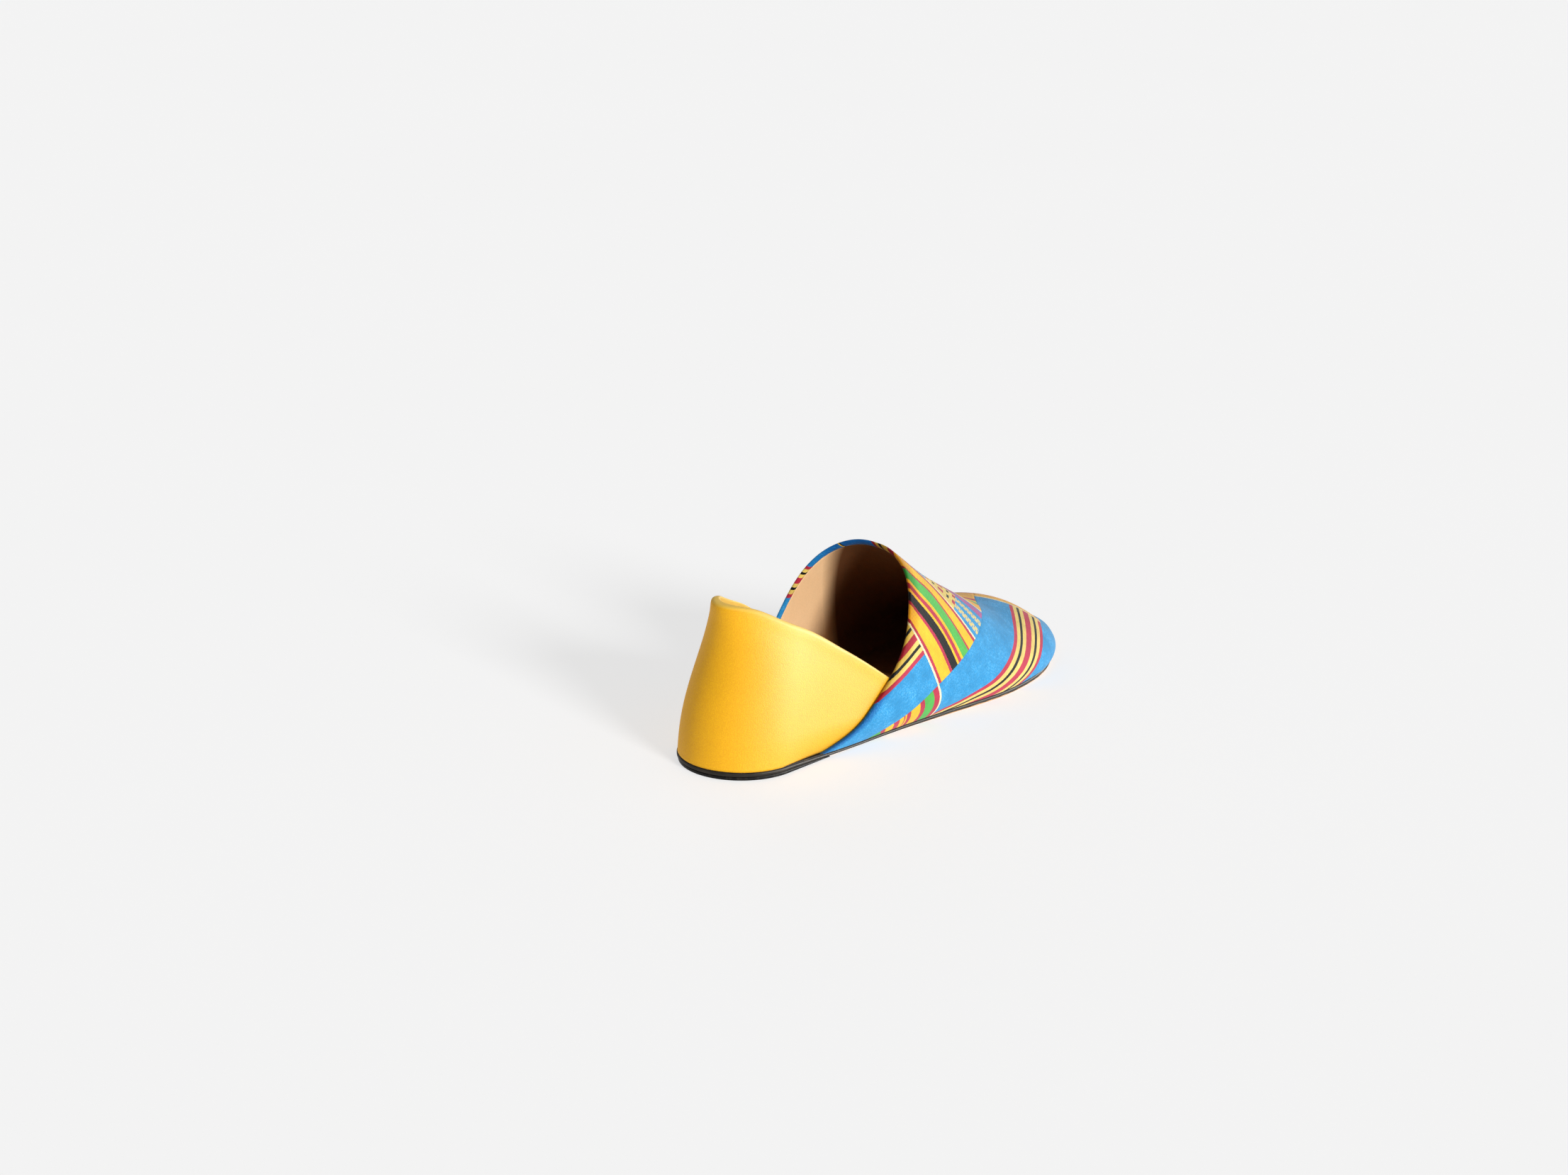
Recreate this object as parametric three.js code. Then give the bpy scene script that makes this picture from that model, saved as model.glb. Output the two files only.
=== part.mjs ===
// A slip-on mule for the right foot: a thin leather sole, a cloth vamp and a soft leather back.
// Millimetres. The toe points along +X, the outer side along -Y and +Z is up.
// The origin lies on the floor, under the middle of the shoe's box.
import * as THREE from "three";
import { mergeVertices } from "three/addons/utils/BufferGeometryUtils.js";

// Driving dimensions
const LENGTH = 262;
const BOX_MIDDLE = { x: 131.1, y: -2.2 };
const GAP = 0.3;
const VAMP_WALL = 2.2;
const BACK_WALL = 1.9;
const LIFT_THICKNESS = 1.6;
const INSOLE_THICKNESS = 1.6;
const INSOLE_CLEARANCE = 0.9;
const INSOLE_TOE_CLEARANCE = 6;
const LIFT_LENGTH = 60;
const LIFT_FLAT = 20;
const LIFT_INSET = 0.5;
const SOLE_EDGE_ROUND = 0.4;
const TOE_SPRING = 6.2;

// Places along the sole, as shares of the length
const ARCH_END = 0.33;
const SPRING_START = 0.66;
const TOE_START = 0.78;

// Rounding of the outline at its two ends
const HEEL_ROUND = 30;
const TOE_POWER = 2.12;
const TOE_HEIGHT_POWER = 0.8;

// How the upper meets the sole
const SOLE_TOE_INSET = 1.2;
const TOE_ROLL = 1.7;
const FEATHER_INSET = 0.4;
const TUCK_HEIGHT = 15;
const TOE_TUCK_HEIGHT = 4.5;
const TOE_TUCK_START = 0.86;

// How far the front of the back reaches under the vamp, and how far it sinks in on its way there
const BACK_REACH = 112;
const SINK_START = 22;
const SINK_END = 56;

// A soft hollow in each side of the back, deeper on the inner side
const HOLLOW = { x: 78, z: 27, length: 24, height: 17, outer: 0.6, inner: 3.2 };

// Sections of the last from heel to toe. sole is half the outsole's width, centre is its middle line,
// edge is the outsole's thickness, ridge is the height of the last's top line, round is the power of the
// section's curve, and flare is how far the upper stands out over the sole. Over the heel the ridge lies
// above the open collar.
const SECTIONS = [
  { share: 0.0, sole: 30.6, centre: 0.2, edge: 2.1, ridge: 110, round: 1.65, flare: -1.0 },
  { share: 0.12, sole: 30.6, centre: -1.2, edge: 1.8, ridge: 104.5, round: 1.78, flare: 1.4 },
  { share: 0.25, sole: 31.8, centre: -1.6, edge: 1.4, ridge: 103, round: 1.92, flare: 4.3 },
  { share: 0.4, sole: 34.1, centre: -1.9, edge: 1.6, ridge: 98.5, round: 2.04, flare: 6.4 },
  { share: 0.48, sole: 36.6, centre: -2.2, edge: 1.9, ridge: 85.5, round: 2.07, flare: 6.4 },
  { share: 0.56, sole: 39.7, centre: -2.4, edge: 2.2, ridge: 68, round: 2.1, flare: 6.1 },
  { share: 0.66, sole: 43.5, centre: -2.3, edge: 2.3, ridge: 50.5, round: 2.13, flare: 5.4 },
  { share: 0.76, sole: 43.8, centre: -1.9, edge: 2.3, ridge: 36.1, round: 2.16, flare: 4.6 },
  { share: 0.86, sole: 40.2, centre: -1.5, edge: 2.3, ridge: 30.8, round: 1.95, flare: 4.3 },
  { share: 0.95, sole: 33, centre: -0.7, edge: 2.3, ridge: 18.5, round: 1.5, flare: 4.0 },
  { share: 1.0, sole: 28.4, centre: 0, edge: 2.3, ridge: 12, round: 1.4, flare: 3.6 },
];

// The vamp's free edge, from the sole (turn 0) up to the ridge (turn 1), on the outer and inner side.
const VAMP_EDGE = [
  { turn: 0.0, outer: 53, inner: 51 },
  { turn: 0.05, outer: 69, inner: 61.5 },
  { turn: 0.1, outer: 80, inner: 70.5 },
  { turn: 0.2, outer: 97, inner: 84 },
  { turn: 0.4, outer: 113, inner: 100 },
  { turn: 0.7, outer: 123.8, inner: 118.4 },
  { turn: 1.0, outer: 126.8, inner: 126.8 },
];

// The middle line of the heel seen from the side: how far it leans forward at each height.
const BACK_LINE = [
  { height: 4, lean: 0.2 },
  { height: 20, lean: 2.3 },
  { height: 40, lean: 8.0 },
  { height: 60, lean: 14.4 },
  { height: 74, lean: 16.5 },
  { height: 86, lean: 17.0 },
];

// Height of the back's top edge on both sides, by the distance from the middle of the heel.
const TOPLINE = [
  { reach: 0, outer: 81.7, inner: 81.7 },
  { reach: 8, outer: 79, inner: 80.4 },
  { reach: 18, outer: 73.5, inner: 75.3 },
  { reach: 36, outer: 64.2, inner: 67 },
  { reach: 56, outer: 54.2, inner: 58 },
  { reach: 78, outer: 43, inner: 46.4 },
  { reach: 98, outer: 29.5, inner: 31 },
  { reach: 112, outer: 18, inner: 18.5 },
];

// Fineness of the faceted surfaces
const VAMP_STEPS = { rows: 30, turns: 30 };
const BACK_STEPS = { heel: 9, side: 12, rows: 11 };
const SOLE_STEPS = { heel: 11, middle: 22, toe: 22, lift: 14, half: 2 };
const RIM_STEPS = 3;
const MERGE_DISTANCE = 0.003;

const COLOURS = {
  cloth: { color: 0x3c96e1, roughness: 0.85, metalness: 0 },
  back: { color: 0xf5c43a, roughness: 0.5, metalness: 0 },
  insole: { color: 0xc49a6c, roughness: 0.6, metalness: 0 },
  outsole: { color: 0x2b2825, roughness: 0.55, metalness: 0 },
  lift: { color: 0x1a1918, roughness: 0.5, metalness: 0 },
};

const OUTER = -1;
const INNER = 1;

const clamp = THREE.MathUtils.clamp;
const smooth = THREE.MathUtils.smoothstep;

// A smooth curve through one column of a table, by natural cubic spline.
function spline(rows, place, column) {
  const x = rows.map((row) => row[place]);
  const y = rows.map((row) => row[column]);
  const last = x.length - 1;
  const bend = new Array(x.length).fill(0);
  const rest = new Array(x.length).fill(0);
  for (let i = 1; i < last; i++) {
    const width = x[i + 1] - x[i - 1];
    const part = (x[i] - x[i - 1]) / width;
    const pivot = part * bend[i - 1] + 2;
    const turn = (y[i + 1] - y[i]) / (x[i + 1] - x[i]) - (y[i] - y[i - 1]) / (x[i] - x[i - 1]);
    bend[i] = (part - 1) / pivot;
    rest[i] = ((6 * turn) / width - part * rest[i - 1]) / pivot;
  }
  bend[last] = 0;
  for (let i = last - 1; i >= 0; i--) {
    bend[i] = bend[i] * bend[i + 1] + rest[i];
  }
  return (at) => {
    const place = clamp(at, x[0], x[last]);
    const i = clamp(x.findLastIndex((edge) => edge <= place), 0, last - 1);
    const width = x[i + 1] - x[i];
    const a = (x[i + 1] - place) / width;
    const b = 1 - a;
    const curve = ((a ** 3 - a) * bend[i] + (b ** 3 - b) * bend[i + 1]) * (width ** 2 / 6);
    return a * y[i] + b * y[i + 1] + curve;
  };
}

const sole = spline(SECTIONS, "share", "sole");
const centre = spline(SECTIONS, "share", "centre");
const thickness = spline(SECTIONS, "share", "edge");
const ridge = spline(SECTIONS, "share", "ridge");
const round = spline(SECTIONS, "share", "round");
const flare = spline(SECTIONS, "share", "flare");
const edge = { outer: spline(VAMP_EDGE, "turn", "outer"), inner: spline(VAMP_EDGE, "turn", "inner") };
const lean = spline(BACK_LINE, "height", "lean");
const topline = { outer: spline(TOPLINE, "reach", "outer"), inner: spline(TOPLINE, "reach", "inner") };

// The underside of the outsole: up on the lift at the heel, flat under the ball, rising to the toe.
function soleBottom(x) {
  const onLift = (LIFT_THICKNESS + GAP) * (1 - smooth(x, LIFT_FLAT, ARCH_END * LENGTH));
  const spring = clamp((x / LENGTH - SPRING_START) / (1 - SPRING_START), 0, 1);
  return onLift + TOE_SPRING * spring ** 2;
}

const soleTop = (x) => soleBottom(x) + thickness(x / LENGTH);
const seat = (x) => soleTop(x) + GAP;

// How much of the full width is left near the toe's end: a superellipse from TOE_START on.
function toeShare(x, end) {
  const along = clamp((x - TOE_START * LENGTH) / (end - TOE_START * LENGTH), 0, 1);
  return Math.sqrt(1 - along ** TOE_POWER);
}

// How much of the full width is left at a distance behind which the heel has ended: a quarter ellipse.
function heelShare(distance, length) {
  const along = clamp(1 - distance / length, 0, 1);
  return Math.sqrt(1 - along ** 2);
}

// How far the upper is drawn in above its seat, so that it meets the sole inside the sole's edge.
function tuck(x, height) {
  const depth = Math.max(flare(x / LENGTH) + FEATHER_INSET, 0);
  return depth * tuckLeft(x, height);
}

// The same at the toe's end, along the length.
function toeTuck(x, height) {
  const depth = SOLE_TOE_INSET + FEATHER_INSET + TOE_ROLL;
  return depth * toeWeight(x) * tuckLeft(x, height);
}

// How far a place belongs to the toe, from 0 to 1.
function toeWeight(x) {
  return smooth(x, TOE_TUCK_START * LENGTH, LENGTH + TOE_ROLL);
}

// The share of the tuck left at a height: all of it at the seat, none above a height that falls at the toe.
function tuckLeft(x, height) {
  const top = THREE.MathUtils.lerp(TUCK_HEIGHT, TOE_TUCK_HEIGHT, toeWeight(x));
  return (1 - clamp(height / top, 0, 1)) ** 2;
}

// A point of the last over the foot: turn runs from 0 at the sole's outer edge over 1 on the ridge to 2 at
// the inner edge, on a superellipse. inset is the depth below the outer surface.
function lastPoint(x, turn, inset) {
  const share = x / LENGTH;
  const left = toeShare(x, LENGTH + TOE_ROLL - inset);
  const base = seat(x);
  const power = 2 / round(share);
  const halfWidth = (sole(share) + flare(share) - inset) * left;
  const rise = Math.max(ridge(share) - base - inset, 0) * left ** TOE_HEIGHT_POWER;
  const across = Math.cos((turn * Math.PI) / 2);
  const height = rise * Math.sin((turn * Math.PI) / 2) ** power;
  const reach = Math.max(halfWidth * Math.abs(across) ** power - tuck(x, height) * left, 0);
  const y = centre(share) - Math.sign(across) * reach;
  return new THREE.Vector3(x - toeTuck(x, height), y, base + height);
}

// A point of the back on one side, from how far it stands from the heel's middle and from its height.
function backPoint(reach, height, side, inset) {
  const forward = smooth(reach, HEEL_ROUND, BACK_REACH);
  const x = reach + (lean(height) + inset * (1 - forward)) * (1 - forward);
  const share = x / LENGTH;
  const base = seat(x);
  const sunk = inset + (VAMP_WALL + GAP) * smooth(x, SINK_START, SINK_END);
  const up = clamp((height - base) / (ridge(share) - base - sunk), 0, 1);
  const power = round(share);
  const halfWidth = (sole(share) + flare(share) - sunk) * (1 - up ** power) ** (1 / power);
  const hollow = hollowDepth(x, height, side);
  const width = (halfWidth - tuck(x, height - base) - hollow) * heelShare(reach, HEEL_ROUND);
  return new THREE.Vector3(x, centre(share) + side * width, height);
}

// The soft hollow of the back's sides: a round bump of given length and height, drawn inwards.
function hollowDepth(x, height, side) {
  const along = (x - HOLLOW.x) / HOLLOW.length;
  const above = (height - HOLLOW.z) / HOLLOW.height;
  const depth = side === OUTER ? HOLLOW.outer : HOLLOW.inner;
  return depth * Math.exp(-(along ** 2) - above ** 2);
}

// One closed surface over a row of rings. Each ring runs out along one face and back along the other, so
// both ends are closed by joining its two halves. Faces that have shrunk to nothing are dropped.
function skin(rings) {
  const size = rings[0].length;
  const points = rings.flat().flatMap((point) => [point.x, point.y, point.z]);
  const faces = [];
  const quad = (a, b, c, d) => faces.push(a, b, c, a, c, d);
  for (let row = 0; row < rings.length - 1; row++) {
    for (let k = 0; k < size; k++) {
      const next = (k + 1) % size;
      quad(row * size + k, row * size + next, (row + 1) * size + next, (row + 1) * size + k);
    }
  }
  const end = (rings.length - 1) * size;
  for (let k = 0; k < size / 2 - 1; k++) {
    quad(size - 1 - k, size - 2 - k, k + 1, k);
    quad(end + k, end + k + 1, end + size - 2 - k, end + size - 1 - k);
  }
  const loose = new THREE.BufferGeometry();
  loose.setAttribute("position", new THREE.Float32BufferAttribute(points, 3));
  loose.setIndex(faces);
  const geometry = mergeVertices(loose, MERGE_DISTANCE);
  const kept = [];
  const index = geometry.index.array;
  for (let i = 0; i < index.length; i += 3) {
    const [a, b, c] = index.slice(i, i + 3);
    if (a !== b && b !== c && c !== a) {
      kept.push(a, b, c);
    }
  }
  geometry.setIndex(kept);
  geometry.computeVertexNormals();
  return geometry;
}

// Evenly stepped numbers from 0 to 1, and the same crowded towards the end, the start or both ends.
const even = (count) => Array.from({ length: count + 1 }, (_, i) => i / count);
const crowdedEnd = (count) => even(count).map((u) => Math.sin((u * Math.PI) / 2));
const crowdedStart = (count) => even(count).map((u) => 1 - Math.cos((u * Math.PI) / 2));
const crowdedEnds = (count) => even(count).map((u) => (1 - Math.cos(u * Math.PI)) / 2);

// Places along a sole outline, crowded at its round ends.
function stations(end) {
  const ball = TOE_START * LENGTH;
  const heel = crowdedStart(SOLE_STEPS.heel).map((u) => u * HEEL_ROUND);
  const middle = even(SOLE_STEPS.middle).map((u) => HEEL_ROUND + u * (ball - HEEL_ROUND));
  const toe = crowdedEnd(SOLE_STEPS.toe).map((u) => ball + u * (end - ball));
  return [...heel, ...middle.slice(1), ...toe.slice(1)];
}

// A sheet of sole: its half width and two faces are functions of x, and its edge is slightly rounded.
function soleSheet(places, halfWidth, bottom, top) {
  const across = even(2 * SOLE_STEPS.half).map((u) => 2 * u - 1);
  return skin(
    places.map((x) => {
      const middle = centre(x / LENGTH);
      const half = halfWidth(x);
      const drawn = Math.max(half - SOLE_EDGE_ROUND, 0);
      const mid = (bottom(x) + top(x)) / 2;
      const at = (y, z) => new THREE.Vector3(x, middle + y, z);
      const under = across.map((u) => at(u * drawn, bottom(x)));
      const over = across.map((u) => at(u * drawn, top(x))).reverse();
      return [at(-half, mid), ...under, at(half, mid), at(half, mid), ...over, at(-half, mid)];
    }),
  );
}

function outsole() {
  const end = LENGTH - SOLE_TOE_INSET;
  const half = (x) => sole(x / LENGTH) * heelShare(x, HEEL_ROUND) * toeShare(x, end);
  return soleSheet(stations(end), half, soleBottom, soleTop);
}

function heelLift() {
  const places = crowdedStart(SOLE_STEPS.lift).map((u) => LIFT_INSET + u * (LIFT_LENGTH - LIFT_INSET));
  const half = (x) => (sole(x / LENGTH) - LIFT_INSET) * heelShare(x - LIFT_INSET, HEEL_ROUND);
  const bottom = () => 0;
  const top = (x) => soleBottom(x) - GAP;
  return soleSheet(places, half, bottom, top);
}

// The insole lies inside the walls: under the back's two walls at the heel, inside the vamp's at the toe.
function insole() {
  const heelSide = FEATHER_INSET + BACK_WALL + INSOLE_CLEARANCE;
  const doubled = heelSide + VAMP_WALL + GAP;
  const single = FEATHER_INSET + VAMP_WALL + INSOLE_CLEARANCE;
  const start = heelSide + lean(seat(0));
  const end = LENGTH - SOLE_TOE_INSET - single - INSOLE_TOE_CLEARANCE;
  const inset = (x) => {
    const entering = smooth(x, SINK_START, SINK_END) * (doubled - heelSide);
    const leaving = smooth(x, BACK_REACH, BACK_REACH + TUCK_HEIGHT) * (doubled - single);
    return heelSide + flareDrop(x) + entering - leaving;
  };
  const length = HEEL_ROUND - heelSide;
  const half = (x) => (sole(x / LENGTH) - inset(x)) * heelShare(x - start, length) * toeShare(x, end);
  const places = stations(end).map((x) => start + (x * (end - start)) / end);
  const top = (x) => seat(x) + INSOLE_THICKNESS;
  return soleSheet(places, half, seat, top);
}

// Where the upper stands inside the sole's edge by more than the feather's inset.
function flareDrop(x) {
  return Math.max(-flare(x / LENGTH) - FEATHER_INSET, 0);
}

// The vamp: outer and inner surface of the last from the free edge to the toe, with a round rim.
function vamp() {
  const turns = crowdedEnds(VAMP_STEPS.turns).map((u) => 2 * u);
  const half = VAMP_WALL / 2;
  const edgeAt = (turn) => (turn < 1 ? edge.outer(turn) : edge.inner(2 - turn));
  const rim = even(RIM_STEPS).slice(0, -1).map((u) => (u * Math.PI) / 2);
  const face = (place, inset) => turns.map((turn) => lastPoint(place(turn), turn, inset));
  const rimRings = rim.map((angle) => {
    const place = (turn) => edgeAt(turn) + half * (1 - Math.cos(angle));
    const lift = half * Math.sin(angle);
    return [...face(place, half + lift), ...face(place, half - lift).reverse()];
  });
  const rings = crowdedEnd(VAMP_STEPS.rows).map((along) => {
    const place = (inset) => (turn) => {
      const start = edgeAt(turn) + half;
      return start + along * (LENGTH + TOE_ROLL - inset - start);
    };
    return [...face(place(VAMP_WALL), VAMP_WALL), ...face(place(0), 0).reverse()];
  });
  return skin([...rimRings, ...rings]);
}

// The back: a wall from the seat to the top edge, round the heel from the outer to the inner side.
function back() {
  const bend = crowdedStart(BACK_STEPS.heel).map((u) => u * HEEL_ROUND);
  const straight = even(BACK_STEPS.side).slice(1).map((u) => HEEL_ROUND + u * (BACK_REACH - HEEL_ROUND));
  const reaches = [...bend, ...straight];
  const half = BACK_WALL / 2;
  const column = (reach, side) => {
    const top = side === OUTER ? topline.outer(reach) : topline.inner(reach);
    const base = seat(reach);
    const face = (inset) => {
      return even(BACK_STEPS.rows).map((u) => backPoint(reach, base + u * (top - half - base), side, inset));
    };
    const rim = even(RIM_STEPS * 2).slice(1, -1).map((u) => {
      const angle = u * Math.PI;
      return backPoint(reach, top - half + half * Math.sin(angle), side, half - half * Math.cos(angle));
    });
    const firstHalf = rim.slice(0, RIM_STEPS);
    const secondHalf = rim.slice(RIM_STEPS - 1);
    return [...face(0), ...firstHalf, ...secondHalf, ...face(BACK_WALL).reverse()];
  };
  const outerSide = reaches.slice(1).reverse().map((reach) => column(reach, OUTER));
  const innerSide = reaches.map((reach) => column(reach, INNER));
  return skin([...outerSide, ...innerSide]);
}

// A named piece with its own material.
function piece(name, geometry, look) {
  const mesh = new THREE.Mesh(geometry, new THREE.MeshStandardMaterial(look));
  mesh.name = name;
  return mesh;
}

const mule = new THREE.Group();
mule.position.set(-BOX_MIDDLE.x, -BOX_MIDDLE.y, 0);
mule.add(
  piece("outsole", outsole(), COLOURS.outsole),
  piece("heel_lift", heelLift(), COLOURS.lift),
  piece("insole", insole(), COLOURS.insole),
  piece("vamp", vamp(), COLOURS.cloth),
  piece("back", back(), COLOURS.back),
);

export default mule;
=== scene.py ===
"""A slip-on mule for the right foot: strip-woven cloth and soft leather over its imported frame."""

import math

import bmesh
import bpy
import numpy as np
from bpy.props import FloatProperty, FloatVectorProperty, PointerProperty
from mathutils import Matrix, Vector


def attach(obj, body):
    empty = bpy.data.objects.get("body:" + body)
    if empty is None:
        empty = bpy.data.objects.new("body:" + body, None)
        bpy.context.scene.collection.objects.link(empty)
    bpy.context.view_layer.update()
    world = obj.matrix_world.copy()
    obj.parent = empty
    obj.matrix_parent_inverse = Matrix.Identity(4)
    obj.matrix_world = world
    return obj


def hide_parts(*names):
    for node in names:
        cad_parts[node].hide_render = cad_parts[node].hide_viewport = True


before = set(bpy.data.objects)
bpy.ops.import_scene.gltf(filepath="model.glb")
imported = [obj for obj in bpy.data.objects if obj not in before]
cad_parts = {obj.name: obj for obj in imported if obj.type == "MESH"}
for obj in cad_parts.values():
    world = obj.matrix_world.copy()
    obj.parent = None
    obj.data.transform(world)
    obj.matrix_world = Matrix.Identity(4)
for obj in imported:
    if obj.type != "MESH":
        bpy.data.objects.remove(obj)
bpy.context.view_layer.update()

bl_info = {
    "name": "Mule builder",
    "version": (1, 0, 0),
    "blender": (4, 5, 0),
    "location": "View3D > Sidebar > Mule",
    "description": "Builds the cloth, leather and sole of a slip-on mule around its frame",
    "category": "Object",
}

BODY = "root"
METRES = 0.001
MERGE_DISTANCE = 1e-6

# The form of the last, in millimetres, as in the part's source: the heel's back end on the floor is the
# origin of these numbers, the toe points along x, and the outer side of the foot is at negative y.
BOX_MIDDLE = np.array([131.1, -2.2, 0.0])
LENGTH = 262.0
GAP = 0.3
VAMP_WALL = 2.2
BACK_WALL = 1.9
LIFT_THICKNESS = 1.6
LIFT_LENGTH = 60.0
LIFT_FLAT = 20.0
LIFT_INSET = 0.5
INSOLE_THICKNESS = 1.6
INSOLE_CLEARANCE = 0.9
INSOLE_TOE_CLEARANCE = 6.0
TOE_SPRING = 6.2
ARCH_END = 0.33 * LENGTH
SPRING_START = 0.66 * LENGTH
TOE_START = 0.78 * LENGTH
HEEL_ROUND = 30.0
TOE_POWER = 2.12
TOE_HEIGHT_POWER = 0.8
SOLE_TOE_INSET = 1.2
TOE_ROLL = 1.7
FEATHER_INSET = 0.4
TUCK_HEIGHT = 15.0
TOE_TUCK_HEIGHT = 4.5
TOE_TUCK_START = 0.86 * LENGTH
BACK_REACH = 112.0
SINK_START = 22.0
SINK_END = 56.0
HOLLOW_X = 78.0
HOLLOW_Z = 27.0
HOLLOW_LENGTH = 24.0
HOLLOW_HEIGHT = 17.0
HOLLOW_OUTER = 0.6
HOLLOW_INNER = 3.2

# Sections of the last: share of the length, half width of the sole, middle line, thickness of the sole's
# edge, height of the ridge, power of the section's curve, and how far the upper stands out over the sole.
SECTIONS = np.array(
    [
        (0.00, 30.6, 0.2, 2.1, 110.0, 1.65, -1.0),
        (0.12, 30.6, -1.2, 1.8, 104.5, 1.78, 1.4),
        (0.25, 31.8, -1.6, 1.4, 103.0, 1.92, 4.3),
        (0.40, 34.1, -1.9, 1.6, 98.5, 2.04, 6.4),
        (0.48, 36.6, -2.2, 1.9, 85.5, 2.07, 6.4),
        (0.56, 39.7, -2.4, 2.2, 68.0, 2.10, 6.1),
        (0.66, 43.5, -2.3, 2.3, 50.5, 2.13, 5.4),
        (0.76, 43.8, -1.9, 2.3, 36.1, 2.16, 4.6),
        (0.86, 40.2, -1.5, 2.3, 30.8, 1.95, 4.3),
        (0.95, 33.0, -0.7, 2.3, 18.5, 1.50, 4.0),
        (1.00, 28.4, 0.0, 2.3, 12.0, 1.40, 3.6),
    ]
)

# The vamp's free edge: turn from the sole (0) to the ridge (1), and x on the outer and the inner side.
VAMP_EDGE = np.array(
    [
        (0.00, 53.0, 51.0),
        (0.05, 69.0, 61.5),
        (0.10, 80.0, 70.5),
        (0.20, 97.0, 84.0),
        (0.40, 113.0, 100.0),
        (0.70, 123.8, 118.4),
        (1.00, 126.8, 126.8),
    ]
)

# The heel's middle line: height, and how far it leans forward there.
BACK_LINE = np.array([(4, 0.2), (20, 2.3), (40, 8.0), (60, 14.4), (74, 16.5), (86, 17.0)], float)

# The back's top edge: distance from the heel's middle, and its height on the outer and the inner side.
TOPLINE = np.array(
    [
        (0, 80.4, 80.4),
        (8, 78.8, 79.7),
        (18, 73.5, 75.4),
        (36, 64.2, 67.0),
        (56, 54.2, 58.0),
        (78, 43.0, 46.4),
        (98, 29.5, 31.0),
        (112, 18.0, 18.5),
    ]
)

# Details over the frame, in millimetres
FOLD_SWELL_REACH = 4.0
FOLD_PLUMP_SHARE = 0.75
FOLD_PLUMP_REACH = 7.0
FOLD_SQUARE = 0.45
LINING_SLACK = 0.1
INSOLE_ROUND = 0.5
INSOLE_CROWN = 0.5
LIFT_FRONT_ROUND = 1.5
SOLE_TOE_DRAWN = 1.4
SOLE_DRAWN_START = 190.0
SOLE_DRAWN_END = 235.0

# Fineness of the surfaces
VAMP_TURNS = 210
VAMP_ROWS = 120
VAMP_RIM_ROWS = 7
VAMP_NEAR_ROWS = 14
VAMP_NEAR = 5.0
BACK_HEEL_STEPS = 36
BACK_SIDE_STEPS = 70
BACK_ROWS = 64
BACK_RIM_ROWS = 13
OUTLINE_STEPS = 520
PLATE_EDGE_STEPS = 9
PLATE_FACE_STEPS = 7
THREAD_SIDES = 10
ARC_PLACES = 400
ARC_TURNS = 241


def natural_spline(places, values):
    """A smooth curve through the given points: a natural cubic spline, whose bends at the inner points
    solve one linear system and are nought at both ends. Returns a function of a whole array."""
    x = np.asarray(places, float)
    y = np.asarray(values, float)
    step = np.diff(x)
    count = len(x)
    inner = np.arange(1, count - 1)
    system = np.eye(count)
    system[inner, inner - 1] = step[:-1] / 6
    system[inner, inner] = (step[:-1] + step[1:]) / 3
    system[inner, inner + 1] = step[1:] / 6
    slope = np.diff(y) / step
    wanted = np.zeros(count)
    wanted[inner] = np.diff(slope)
    bend = np.linalg.solve(system, wanted)

    def curve(at):
        place = np.clip(at, x[0], x[-1])
        i = np.clip(np.searchsorted(x, place, side="right") - 1, 0, count - 2)
        a = (x[i + 1] - place) / step[i]
        b = 1 - a
        bowed = ((a**3 - a) * bend[i] + (b**3 - b) * bend[i + 1]) * step[i] ** 2 / 6
        return a * y[i] + b * y[i + 1] + bowed

    return curve


def curves(table, scale=1.0):
    """A smooth curve through each further column of a table, over its first column times a scale."""
    return [natural_spline(table[:, 0] * scale, column) for column in table[:, 1:].T]


sole_half, middle_line, edge_thickness, ridge_height, section_round, upper_flare = curves(SECTIONS, LENGTH)
edge_outer, edge_inner = curves(VAMP_EDGE)
heel_lean = curves(BACK_LINE)[0]
top_outer, top_inner = curves(TOPLINE)


def smooth(at, start, end):
    """A soft step from 0 at start to 1 at end: 3u2 - 2u3 of the share u between them."""
    u = np.clip((at - start) / (end - start), 0, 1)
    return u * u * (3 - 2 * u)


def sole_bottom(x):
    """The sole's underside: up on the lift at the heel, flat under the ball, rising with the square of the
    distance towards the toe."""
    on_lift = (LIFT_THICKNESS + GAP) * (1 - smooth(x, LIFT_FLAT, ARCH_END))
    spring = np.clip((x - SPRING_START) / (LENGTH - SPRING_START), 0, 1)
    return on_lift + TOE_SPRING * spring**2


def sole_top(x):
    """The sole's upper side: its underside plus its thickness."""
    return sole_bottom(x) + edge_thickness(x)


def seat(x):
    """The height at which the upper stands: the sole's upper side plus the gap."""
    return sole_top(x) + GAP


def toe_share(x, end):
    """How much of the full width is left near the toe: a superellipse from TOE_START to end."""
    along = np.clip((x - TOE_START) / (end - TOE_START), 0, 1)
    return np.sqrt(1 - along**TOE_POWER)


def heel_share(distance, length):
    """How much of the full width is left at a distance from the heel's end: a quarter ellipse."""
    along = np.clip(1 - distance / length, 0, 1)
    return np.sqrt(1 - along**2)


def toe_weight(x):
    """How far a place belongs to the toe, from 0 to 1."""
    return smooth(x, TOE_TUCK_START, LENGTH + TOE_ROLL)


def tuck_left(x, height):
    """The share of the tuck left at a height over the seat: a square that falls to nothing."""
    top = TUCK_HEIGHT + (TOE_TUCK_HEIGHT - TUCK_HEIGHT) * toe_weight(x)
    return (1 - np.clip(height / top, 0, 1)) ** 2


def tuck(x, height):
    """How far the upper is drawn in above its seat, to meet the sole inside the sole's edge."""
    return np.maximum(upper_flare(x) + FEATHER_INSET, 0) * tuck_left(x, height)


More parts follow.
